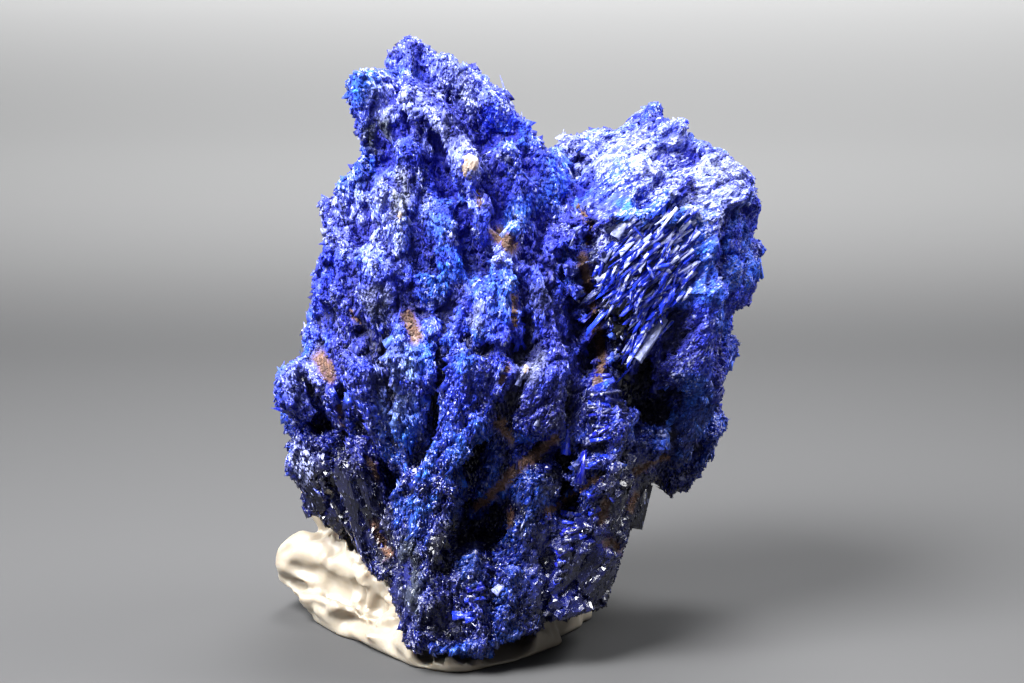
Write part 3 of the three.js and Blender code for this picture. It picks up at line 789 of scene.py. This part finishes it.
def glassyBlue(name, cell, tilts):
    # cell: width of the smallest facets, tilts: how far they and the larger ones lean where the blue is dull
    material, tree, shader = nodesOf(name)
    place = addNode(tree, "ShaderNodeAttribute", attribute_name="grain").outputs["Vector"]
    gloss = addNode(tree, "ShaderNodeAttribute", attribute_name="gloss").outputs["Fac"]
    tint = addNode(tree, "ShaderNodeVertexColor", layer_name="tint")
    small = addNode(tree, "ShaderNodeTexVoronoi", {"Vector": place, "Scale": 1 / cell})
    larger = glassLook["larger"] * cell
    large = addNode(tree, "ShaderNodeTexVoronoi", {"Vector": place, "Scale": 1 / larger})
    chance = addNode(tree, "ShaderNodeSeparateXYZ", {"Vector": small.outputs["Color"]})

    shade = ranged(tree, chance.outputs["X"], *glassLook["shade"])
    blue = vectorMath(tree, "SCALE", {0: tint.outputs["Color"], "Scale": shade})
    # cells under the tint's alpha turn pale: broken crystals and painted glints
    under = addNode(tree, "ShaderNodeMath", {0: tint.outputs["Alpha"], 1: chance.outputs["Y"]},
                    operation="SUBTRACT")
    share = addNode(tree, "ShaderNodeMapRange",
                    {"Value": under.outputs["Value"], "From Min": -0.05, "From Max": 0.2})
    flecked = addNode(tree, "ShaderNodeMix", {"Factor": share.outputs["Result"]}, data_type="RGBA")
    tree.links.new(blue, flecked.inputs["A"])
    flecked.inputs["B"].default_value = (*blues["pale"], 1)
    tree.links.new(flecked.outputs["Result"], shader.inputs["Base Color"])

    facing = addNode(tree, "ShaderNodeNewGeometry").outputs["Normal"]
    for cells, tilt in ((small, tilts[0]), (large, tilts[1])):
        off = vectorMath(tree, "SUBTRACT", {0: cells.outputs["Color"], 1: (0.5, 0.5, 0.5)})
        amount = ranged(tree, gloss, tilt, glassLook["lean"])
        lean = vectorMath(tree, "SCALE", {0: off, "Scale": amount})
        facing = vectorMath(tree, "ADD", {0: facing, 1: lean})
    tree.links.new(vectorMath(tree, "NORMALIZE", {0: facing}), shader.inputs["Normal"])
    dullest = ranged(tree, gloss, *glassLook["dullest"])
    glossiest = ranged(tree, gloss, *glassLook["glossiest"])
    tree.links.new(ranged(tree, gloss, *glassLook["specular"]), shader.inputs["Specular IOR Level"])
    tree.links.new(ranged(tree, chance.outputs["Z"], glossiest, dullest), shader.inputs["Roughness"])
    shader.inputs["IOR"].default_value = glassLook["ior"]
    return material


azuriteRough = glassyBlue("azuriteRough", 0.10, (0.8, 0.6))
azuriteGlassy = glassyBlue("azuriteGlassy", 0.16, (0.5, 0.4))


# The long glossy blades on the lobe's left face.
fan = {
    "area": (7.0, 3.2, 2.3, 4.0, -30),  # right, up, half width, half height and turn, seen from the front
    "hole": (6.0, 0.8, 0.9, 1.6, -20),  # the dark recess below the rows
    "perSquare": 10.5,
    "size": (0.165, 0.10, 0.66),  # half width, half thickness, half length
    "uneven": 0.4,
    "facing": (-0.25, -0.74, 0.62),  # the way the broad faces of most of them look
    "aligned": 0.7,  # the share of them that do
    "paintedGlint": 0.8,  # how pale those can be, a painted highlight for their glint
    "lifted": 0.3,  # how far their tips stand out
    "gloss": 0.9,
    "seed": 700,
}


def inFan(p):
    return patch(seenFromFront(p), *fan["area"]) * onLobe(p)


def fanBlades():
    spots, facing, _, random = spotsOn(azuriteBody, fan["perSquare"], fan["seed"], fanLiking, hollow)
    looks = np.array(fan["facing"])
    # they hang back along the arcs of the lobe, and a little downward
    along = -0.6 * grainAt(spots) + np.array((0, 0, -0.5)) + 0.16 * random.normal(size=spots.shape)
    aligned = random.random((len(spots), 1)) < fan["aligned"]
    broad = unit(looks + np.where(aligned, 0.08, 0.5) * random.normal(size=spots.shape))
    along = unit(along - (along * broad).sum(axis=1, keepdims=True) * broad)
    uneven = np.clip(random.normal(0, fan["uneven"], (len(spots), 3)), -0.8, 0.45)
    sizes = np.array(fan["size"]) * np.exp(uneven)
    spots = spots + 0.08 * facing + fan["lifted"] * along
    clear = seamShare(spots + sizes[:, 2:] * along) < 0.1  # no tip hangs over a seam
    spots, along, broad, sizes, aligned = (values[clear] for values in (spots, along, broad, sizes, aligned))
    shapes = [habits[kind] for kind in ("wedge", "chisel", "point")]
    obj, owners = grown("fanBlades", shapes, spots, along, broad, sizes, fan["seed"] + 1)
    colours = np.tile(blues["royal"], (len(spots), 1)) * np.exp(random.normal(-0.3, 0.5, (len(spots), 1)))
    # painted highlight: the blades that face the lamp are painted pale
    pale = 0.05 + fan["paintedGlint"] * aligned[:, 0] * random.random(len(spots))
    paint(obj, colours[owners], pale[owners], np.full(len(owners), fan["gloss"]))
    obj.data.materials.append(azuriteGlassy)
    print("fan", len(spots), "blades")
    return obj


def fanLiking(middle, facing):
    clear = (1 - patch(seenFromFront(middle), *fan["hole"])) * (1 - seamShare(middle, 2.2))
    return inFan(middle) * blend(-0.1, 0.3, -facing[:, 1]) * clear


def frontSpot(obj, right, up):
    # the nearest place on the piece to somebody who looks at it from the front
    p = pointsOf(obj)
    off = np.linalg.norm(seenFromFront(p) - (right, up), axis=1)
    near = p[off < max(0.35, off.min() + 0.1)]
    return near[near[:, 1].argmin()]


# The large single faces, and the stacks of thin plates that look like ladders.
plates = {
    # right, up, turn from upright in degrees, half width, half thickness, half length, way it looks, colour
    # painted highlights: the faces that look towards the lamp are painted pale or lilac
    "faces": [
        (7.65, 0.25, 35, 0.8, 0.3, 1.3, "lamp", "pale"), (5.9, 6.2, 30, 0.4, 0.15, 0.9, "lamp", "pale"),
        (5.2, 5.2, 28, 0.3, 0.12, 0.8, "lamp", "lilac"), (5.2, 3.7, 60, 0.35, 0.12, 0.6, "lamp", "pale"),
        (7.4, 1.9, 25, 0.3, 0.12, 0.7, "lamp", "pale"), (6.2, 2.0, 35, 0.08, 0.06, 0.5, "lamp", "lilac"),
        (-0.9, -13.2, 40, 0.35, 0.15, 0.5, "lamp", "lilac"), (3.4, -6.8, 20, 0.4, 0.2, 0.9, "left", "deep"),
        (2.6, -5.4, 15, 0.35, 0.2, 0.8, "left", "royal"), (7.6, -8.7, 35, 0.7, 0.5, 1.2, "right", "black"),
    ],
    # ladders: from right, up, to right, up, how many plates, half width
    "ladders": [(4.9, -1.6, 4.5, -7.1, 20, 0.6), (3.1, -8.9, 3.0, -10.6, 8, 0.5),
                (4.3, -7.9, 4.1, -11.2, 12, 0.22), (2.9, -11.2, 2.8, -12.9, 10, 0.32),
                (-1.6, -12.9, -2.5, -15.2, 12, 0.32)],
    "rung": {"wide": 0.22, "thick": 0.3, "turn": 84, "uneven": 0.3, "colours": ("royal", "navy", "deep")},
    "looks": {"lamp": (-0.24, -0.75, 0.62), "left": (-0.75, -0.65, 0.1), "right": (0.7, -0.7, 0.1)},
    "pale": 0.1,
    "gloss": 0.85,
    "seed": 760,
}


def largePlates():
    random = np.random.default_rng(plates["seed"])
    rightward, upward, _ = (np.array(axis) for axis in viewAxes())
    rung = plates["rung"]
    spots, along, broad, sizes, colours = [], [], [], [], []

    def add(right, up, turn, size, looks, colour):
        a = math.radians(turn)
        spots.append(frontSpot(azuriteBody, right, up) - 0.6 * size[1] * np.array(looks))
        along.append(upward * math.cos(a) + rightward * math.sin(a))
        broad.append(looks)
        sizes.append(size)
        colours.append(blues[colour])

    for right, up, turn, wide, thick, long, looks, colour in plates["faces"]:
        add(right, up, turn, (wide, thick, long), plates["looks"][looks], colour)
    for fromRight, fromUp, toRight, toUp, count, wide in plates["ladders"]:
        for t in np.linspace(0, 1, count):
            size = np.array((rung["wide"], rung["thick"], wide))
            size = size * np.exp(random.normal(0, rung["uneven"], 3))
            looks = np.array(plates["looks"]["lamp"]) + 0.25 * random.normal(size=3)
            add(fromRight + t * (toRight - fromRight) + 0.1 * random.normal(), fromUp + t * (toUp - fromUp),
                rung["turn"] + 9 * random.normal(), size, looks, random.choice(rung["colours"]))
    spots, along, broad, sizes = (np.array(values) for values in (spots, along, broad, sizes))
    broad = unit(broad)
    along = unit(along - (along * broad).sum(axis=1, keepdims=True) * broad)
    obj, owners = grown("largePlates", [habits["chisel"]], spots, along, broad, sizes, plates["seed"] + 1)
    pale, gloss = np.full(len(owners), plates["pale"]), np.full(len(owners), plates["gloss"])
    paint(obj, np.array(colours)[owners], pale, gloss)
    obj.data.materials.append(azuriteGlassy)
    return obj


# The small crystals that cover the cluster.
crust = {
    "front": {"perSquare": 84, "size": (0.095, 0.052, 0.125), "sink": 0.03, "seed": 300},
    "back": {"perSquare": 14, "size": (0.2, 0.14, 0.25), "sink": 0.07, "seed": 400},
    "sheaf": (0.6, 1.4),  # crystals within this width and length lean together
    "lowest": 1.0,  # none grow below this height
    "onGlass": 0.06,  # the share of them that grow on the large glassy faces
    "inCreases": 0.5,  # the share that is missing from the deepest creases
    "coarse": {"larger": 0.5, "missing": 0.5},  # low on the front, where they are few and large
    "flat": 0.95,  # how closely they lie along the surface
    "lean": 0.55,  # how far a sheaf leans off the grain
    "loose": (0.15, 0.1),  # and how far each crystal's length and face turn off its sheaf
    "uneven": 0.38,
    "shade": (-0.2, 0.25, 1.4),  # mean and spread of their shade, and how much it varies from sheaf to sheaf
    "borders": (-7.2, -4.1, -0.4),  # x where one piece of the tall mass's crystals ends and the next starts
    "lobeBorder": 19,  # height where the lobe's lower piece ends
}


def coarseness(p, facing, gloss):
    # 1 where the crystals are few and large, 0 where they are as fine as dust
    up = seenFromFront(p)[:, 1] + 6 * (roughNoise(p / 2.2, 67) - 0.5)
    return blend(5.0, -4.0, up) * blend(0.15, 0.5, gloss) * blend(-0.2, 0.2, -facing[:, 1])


def crustZone(p):
    # which piece the crystals at each place belong to
    lobe = onLobe(p) > 0.5
    zone = np.digitize(p[:, 0], crust["borders"])
    return np.where(lobe, 4 + (p[:, 2] > crust["lobeBorder"]), zone)


def crustOver(names, wants, liking):
    spots, facing, deep, random = spotsOn(azuriteBody, wants["perSquare"], wants["seed"], liking, hollow)
    colours, pale, bare, glass, gloss = colourAt(spots, facing, deep)
    coarse = coarseness(spots, facing, gloss) * (1 - glass)
    thin = np.maximum(np.minimum(1, 3 * bare), crust["inCreases"] * blend(0.15, 0.5, deep))
    thin = np.maximum(np.maximum(thin, (1 - crust["onGlass"]) * glass), crust["coarse"]["missing"] * coarse)
    keep = (spots[:, 2] > crust["lowest"]) & (random.random(len(spots)) > thin)
    spots, facing, colours, pale, gloss, coarse = (
        values[keep] for values in (spots, facing, colours, pale, gloss, coarse))
    chance = crystalCells(grainSpace(spots, *crust["sheaf"]), 500)[3]
    other = crystalCells(grainSpace(spots, *crust["sheaf"]), 540)[3]
    loose = random.normal(size=spots.shape), random.normal(size=spots.shape)
    flat = grainAt(spots)
    flat = flat - crust["flat"] * (flat * facing).sum(axis=1, keepdims=True) * facing
    along = unit(flat + crust["lean"] * (chance - 0.5) + crust["loose"][0] * loose[0])
    broad = unit(facing + (other - 0.5) + crust["loose"][1] * loose[1])
    sizes = np.array(wants["size"]) * np.exp(random.normal(0, crust["uneven"], (len(spots), 3)))
    sizes *= 1 + crust["coarse"]["larger"] * coarse[:, None]
    sizes *= 1 - 0.2 * (onLobe(spots) * blend(15, 20, spots[:, 2]))[:, None]  # finer high on the lobe
    spots = spots - wants["sink"] * facing
    mean, spread, bySheaf = crust["shade"]
    shade = random.normal(mean, spread, (len(spots), 1)) + bySheaf * (chance[:, 2:] - 0.5)
    pale = pale * (0.3 + 1.2 * other[:, 2]) * (1 - 0.5 * coarse)
    gloss = np.clip(gloss + 0.35 * coarse, 0, 1)
    colours = colours * np.exp(shade * np.array((1, 1, 0.6)))  # the blue changes least
    paleAllOver = random.random(len(spots)) < 0.7 * pale  # some are pale all over, as dust and as painted glints
    share = random.uniform(0.15, 0.8, (paleAllOver.sum(), 1))
    colours[paleAllOver] += (np.array(blues["pale"]) - colours[paleAllOver]) * share
    zones = crustZone(spots) if len(names) > 1 else np.zeros(len(spots), dtype=int)
    pieces = []
    for number, name in enumerate(names):
        mine = zones == number
        obj, owners = grown(name, [habits["scale"], habits["point"]], spots[mine], along[mine], broad[mine],
                            sizes[mine], wants["seed"] + 1 + number)
        paint(obj, colours[mine][owners], 0.6 * pale[mine][owners], gloss[mine][owners])
        obj.data.materials.append(azuriteGlassy)
        print(name, mine.sum(), "crystals")
        pieces.append(obj)
    return pieces


def frontOnly(middle, facing):
    return blend(-0.45, 0.1, -facing[:, 1]) * (1 - 0.8 * inFan(middle))


def backOnly(middle, facing):
    return blend(-0.1, 0.45, facing[:, 1])


frontNames = ["leftCrystals", "cheekCrystals", "faceCrystals", "ridgeCrystals", "lowLobeCrystals",
              "highLobeCrystals"]
crystals = crustOver(frontNames, crust["front"], frontOnly)
crystals += crustOver(["backCrystals"], crust["back"], backOnly)
crystals += [fanBlades(), largePlates()]
colours, pale, bare, _, gloss = colourAt(pointsOf(azuriteBody), normalsOf(azuriteBody), hollow)
shade = 1 - 0.85 * inFan(pointsOf(azuriteBody)) * (1 - bare)  # painted shade: the body is darkened between the blades
paint(azuriteBody, colours * shade[:, None], pale * shade, gloss)
azuriteBody.data.materials.clear()
azuriteBody.data.materials.append(azuriteRough)
print("crystals grown")

for piece in [azuriteBody] + crystals:
    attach(piece, "root")
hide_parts("azurite_cluster")


# Brown iron matrix in the seams, and the pale bits.
matrix = {
    "perSquare": 110,  # grains to a square millimetre of seam
    "size": (0.085, 0.065, 0.085),  # half sizes
    "uneven": 0.45,
    "sink": 0.03,
    # the two colours of each, and how wide its grain is
    "brown": {"dark": (0.04, 0.022, 0.017), "light": (0.16, 0.085, 0.062), "grain": 0.35},
    "stone": {"dark": (0.36, 0.24, 0.19), "light": (0.72, 0.60, 0.52), "grain": 0.5},
    "seed": 800,
    "pale": {  # right, up, half sizes, turn in degrees
        "palePebble": (-2.4, 9.5, (0.55, 0.42, 0.72), -15),
        "paleCrumb": (-5.9, 6.9, (0.13, 0.12, 0.3), -12),
        "paleChip": (0.6, -1.6, (0.14, 0.12, 0.24), 10),
    },
}


def earthy(name, dark, light, grain):
    material, tree, shader = nodesOf(name)
    place = addNode(tree, "ShaderNodeTexCoord").outputs["Object"]
    grains = addNode(tree, "ShaderNodeTexNoise", {"Vector": place, "Scale": 1000 / grain, "Detail": 5.0})
    rampColour(tree, shader, grains.outputs["Fac"], dark, light, 0.3, 0.7)
    bumpFrom(tree, shader, grains.outputs["Fac"], 0.6, 0.08)
    shader.inputs["Roughness"].default_value = 0.85
    return material


def seamSpots(random):
    # places on the body all along the seams, found by looking at it from the front
    rightward, upward, towards = (Vector(axis) for axis in viewAxes())
    aim = Vector(cameraSetup["aim"])
    eye = aim + towards * cameraSetup["distance"]
    spots, facing = [], []
    for width, line in seams.values():
        for start, end in zip(line, line[1:]):
            start, run = np.array(start), np.array(end) - np.array(start)
            length = np.linalg.norm(run)
            for t in random.random(int(matrix["perSquare"] * width * length)):
                aside = np.clip(random.normal(size=2), -1.6, 1.6)
                right, up = start + t * run + 0.3 * width * aside
                look = (aim + rightward * right + upward * up - eye).normalized()
                hit, place, normal, _ = azuriteBody.ray_cast(eye * mm, look)
                if hit:
                    spots.append(np.array(place) / mm)
                    facing.append(normal)
    return np.array(spots), np.array(facing)


def ironGrains():
    random = np.random.default_rng(matrix["seed"])
    spots, facing = seamSpots(random)
    along, broad = random.normal(size=spots.shape), random.normal(size=spots.shape)
    sizes = np.array(matrix["size"]) * np.exp(random.normal(0, matrix["uneven"], (len(spots), 3)))
    obj, _ = grown("ironGrains", [habits["lump"]], spots - matrix["sink"] * facing, along, broad, sizes,
                   matrix["seed"] + 1)
    obj.data.materials.append(earthy("ironBrown", **matrix["brown"]))
    print("matrix", len(spots), "grains")
    return obj


def paleBit(name, right, up, size, turn):
    at = frontSpot(azuriteBody, right, up) + (0, 0.8 * size[1], 0)  # sunk into the surface
    bpy.ops.object.select_all(action="DESELECT")
    bpy.ops.mesh.primitive_ico_sphere_add(subdivisions=4, radius=1, location=(0, 0, 0))
    bit = bpy.context.object
    bit.name = name
    editAll()
    bpy.ops.transform.resize(value=size, center_override=(0, 0, 0))
    bpy.ops.transform.rotate(value=math.radians(turn), orient_axis="Y", center_override=(0, 0, 0))
    bpy.ops.object.mode_set(mode="OBJECT")
    flat = np.array([v.co for v in bit.data.vertices])
    lumps = 1 + 0.9 * (roughNoise(flat / (0.8 * size[0]) + at, 90) - 0.5)
    lumps = lumps + 0.15 * (roughNoise(flat * 9, 91) - 0.5)
    setPoints(bit, flat * lumps[:, None] + at)
    bit.data.materials.append(paleStone)
    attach(bit, "root")


paleStone = earthy("paleStone", **matrix["stone"])
for name, (right, up, size, turn) in matrix["pale"].items():
    paleBit(name, right, up, size, turn)
grains = ironGrains()
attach(grains, "root")
print("matrix laid")

for shape in habits.values():
    bpy.data.objects.remove(shape, do_unlink=True)


# The tack.
kneading = {
    "voxel": 0.16,
    "folds": (1.7, 0.30),  # how far apart, how deep
    "lumps": (0.7, 0.12),  # how wide, how high
    # rolls: points right and up as seen from the front, each with a radius
    "rolls": (((-12.3, -12.4, 0.8), (-11.4, -11.9, 0.95), (-10.2, -11.9, 0.85), (-8.9, -12.4, 0.7),
               (-7.6, -13.2, 0.5)),
              ((-11.4, -14.0, 0.5), (-10.4, -14.4, 0.6), (-9.3, -14.7, 0.55), (-8.3, -15.1, 0.4)),
              ((-7.6, -15.8, 0.45), (-6.6, -16.4, 0.6), (-5.4, -16.9, 0.5), (-4.0, -17.4, 0.3))),
    # grooves: from right, up, to right, up, width, depth
    "grooves": ((-12.6, -13.3, -9.4, -13.4, 0.35, 1.1), (-9.2, -15.2, -6.2, -15.7, 0.3, 0.8),
                (-8.9, -13.9, -7.6, -14.3, 0.4, 1.3), (-6.6, -14.2, -5.9, -15.4, 0.3, 1.0),
                (-8.2, -12.9, -6.9, -14.6, 0.22, 0.7)),
    "ragged": (-7.6, -13.6, 1.3, 2.4, -40),  # where it is torn: right, up, half width, half height, turn
    "tears": (0.42, 0.75),  # how far apart, how deep
    "pulled": 0.8,  # how far the tack has torn up where it meets the cluster
    "cream": {"dark": (0.25, 0.205, 0.15), "light": (0.38, 0.345, 0.29)},
    "roughness": 0.42,
    "soaked": 0.3,  # how much light goes into it, and how far: red, green, blue
    "soakedRadius": (0.0010, 0.0007, 0.0004),
}


def creamTack(name):
    material, tree, shader = nodesOf(name)
    place = addNode(tree, "ShaderNodeTexCoord").outputs["Object"]
    cloud = addNode(tree, "ShaderNodeTexNoise", {"Vector": place, "Scale": 350.0, "Detail": 5.0})
    rampColour(tree, shader, cloud.outputs["Fac"], **kneading["cream"])
    skin = addNode(tree, "ShaderNodeTexNoise", {"Vector": place, "Scale": 2600.0, "Detail": 4.0})
    bumpFrom(tree, shader, skin.outputs["Fac"], 0.35, 0.06)
    shader.inputs["Roughness"].default_value = kneading["roughness"]
    shader.inputs["Subsurface Weight"].default_value = kneading["soaked"]
    shader.inputs["Subsurface Radius"].default_value = kneading["soakedRadius"]
    shader.inputs["Subsurface Scale"].default_value = 1.0
    return material


def tackRolls(pad):
    # rows of balls that the remesh melts into rolls
    balls = [pad]
    for line in kneading["rolls"]:
        for (right, up, radius), (nextRight, nextUp, nextRadius) in zip(line, line[1:]):
            for t in (0, 0.25, 0.5, 0.75):
                r = radius + t * (nextRadius - radius)
                at = frontSpot(pad, right + t * (nextRight - right), up + t * (nextUp - up))
                at = (at + (0, 0.55 * r, 0)) * mm  # a good part of it lies in the pad
                bpy.ops.object.select_all(action="DESELECT")
                bpy.ops.mesh.primitive_uv_sphere_add(segments=16, ring_count=10, radius=r * mm, location=at)
                balls.append(bpy.context.object)
    return joined("tackPad", balls)


def kneadedTack():
    tack = mergedCopy("mineral_tack", "tackPad")
    tack = tackRolls(tack)
    applied(tack, "REMESH", mode="VOXEL", voxel_size=kneading["voxel"] * mm)
    applied(tack, "SMOOTH", factor=0.6, iterations=6)
    p, n = pointsOf(tack), normalsOf(tack)
    clear = blend(0.15, 0.9, p[:, 2])  # the underside stays flat
    wide, deep = kneading["folds"]
    shake = np.stack([roughNoise(p / (1.6 * wide), seed, 2) for seed in (81, 82, 83)], axis=1)
    warp = p / wide + 1.3 * shake
    fold = np.abs(2 * softNoise(warp, 84) - 1)
    rise = -deep * (1 - blend(0.0, 0.35, fold))
    wide, high = kneading["lumps"]
    rise += high * (roughNoise(p / wide, 86) - 0.5)
    seen = seenFromFront(p)
    apart, depth = kneading["tears"]
    tears = np.abs(2 * roughNoise(p / apart, 88, 2) - 1)
    rise -= depth * patch(seen, *kneading["ragged"]) * (1 - blend(0.0, 0.35, tears))
    towards = blend(0.0, 0.5, -n[:, 1] + 0.4 * n[:, 2])
    for fromRight, fromUp, toRight, toUp, width, depth in kneading["grooves"]:
        away = awayFromLine(seen, (fromRight, fromUp), (toRight, toUp)) / width
        rise -= depth * towards * np.exp(-away ** 2)
    tree = mathutils.kdtree.KDTree(len(azuriteBody.data.vertices))
    for number, place in enumerate(pointsOf(azuriteBody)):
        tree.insert(place, number)
    tree.balance()
    gap = np.array([tree.find(place)[2] for place in p])
    torn = blend(1.4, 0.3, gap) * blend(0.5, 0.68, roughNoise(p / 0.4, 87)) * blend(0.0, 0.5, n[:, 2])
    moved = p + n * (rise * clear)[:, None]
    moved[:, 2] += kneading["pulled"] * torn * clear
    setPoints(tack, moved)
    applied(tack, "REMESH", mode="VOXEL", voxel_size=kneading["voxel"] * mm)
    applied(tack, "SMOOTH", factor=0.5, iterations=1)
    tack = biggestPart(tack)
    p = pointsOf(tack)
    p[:, 2] = np.maximum(p[:, 2], 0)
    setPoints(tack, p)
    tack.name = "tackPad"
    tack.data.name = "tackPad"
    only(tack)
    bpy.ops.object.shade_smooth()
    tack.data.materials.clear()
    tack.data.materials.append(creamTack("creamTack"))
    return tack


tack = kneadedTack()
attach(tack, "root")
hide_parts("mineral_tack")
print("tack kneaded,", len(tack.data.polygons), "faces")


# The floor and the lights.
floorLook = {
    "size": 4,  # metres
    "front": (0.06, 0.06, 0.0615),
    "behind": (0.29, 0.29, 0.29),
    "fade": (0.055, 0.12),  # metres behind the middle, where it starts and ends
    "roughness": 0.8,
    "specular": 0.2,
}
lights = {  # place, size, power in watts, spread in degrees, and the place it points to
    "keyLight": ((-95, -85, 200), (110, 110), 0.27, 60, (0, 0, 16)),
    "leftLight": ((-180, -60, 130), (100, 100), 0.09, 60, (0, 0, 16)),
    "topLight": ((20, 70, 200), (110, 80), 0.10, 60, (0, 0, 16)),
    "rightLight": ((120, 20, 160), (90, 90), 0.05, 60, (0, 0, 16)),
    "backdropLight": ((0, 280, 150), (200, 100), 0.5, 100, (0, 260, 0)),
}
skyLook = {"colour": (0.95, 0.97, 1.0), "heights": (-0.1, 0.9), "strengths": (0.06, 0.4)}


def paleFloor():
    bpy.ops.object.select_all(action="DESELECT")
    bpy.ops.mesh.primitive_plane_add(size=floorLook["size"], location=(0, 0, 0))
    floor = bpy.context.object
    floor.name = "floor"
    material, tree, shader = nodesOf("paleFloor")
    place = addNode(tree, "ShaderNodeTexCoord").outputs["Object"]
    parts = addNode(tree, "ShaderNodeSeparateXYZ", {"Vector": place})
    start, end = floorLook["fade"]
    reach = {"Value": parts.outputs["Y"], "From Min": start, "From Max": end}
    fade = addNode(tree, "ShaderNodeMapRange", reach, interpolation_type="SMOOTHSTEP")
    rampColour(tree, shader, fade.outputs["Result"], floorLook["front"], floorLook["behind"])
    shader.inputs["Roughness"].default_value = floorLook["roughness"]
    shader.inputs["Specular IOR Level"].default_value = floorLook["specular"]
    floor.data.materials.append(material)


def softLight(name, at, size, power, spread, aim):
    at, aim = Vector(at) * mm, Vector(aim) * mm
    bpy.ops.object.light_add(type="AREA", location=at)
    lamp = bpy.context.object
    lamp.name = name
    lamp.data.shape = "RECTANGLE"
    lamp.data.size, lamp.data.size_y = size[0] * mm, size[1] * mm
    lamp.data.energy = power
    lamp.data.spread = math.radians(spread)
    lamp.rotation_euler = (aim - at).to_track_quat("-Z", "Y").to_euler()


def studioWorld():
    world = bpy.data.worlds.new("studio")
    scene.world = world
    world.use_nodes = True
    tree = world.node_tree
    place = addNode(tree, "ShaderNodeTexCoord").outputs["Generated"]
    parts = addNode(tree, "ShaderNodeSeparateXYZ", {"Vector": place})
    (low, high), (dim, bright) = skyLook["heights"], skyLook["strengths"]
    sky = addNode(tree, "ShaderNodeMapRange",
                  {"Value": parts.outputs["Z"], "From Min": low, "From Max": high,
                   "To Min": dim, "To Max": bright})
    tree.links.new(sky.outputs["Result"], tree.nodes["Background"].inputs["Strength"])
    tree.nodes["Background"].inputs["Color"].default_value = (*skyLook["colour"], 1)


paleFloor()
for name, settings in lights.items():
    softLight(name, *settings)
studioWorld()
scene.view_settings.view_transform = "Standard"
print("stage lit")
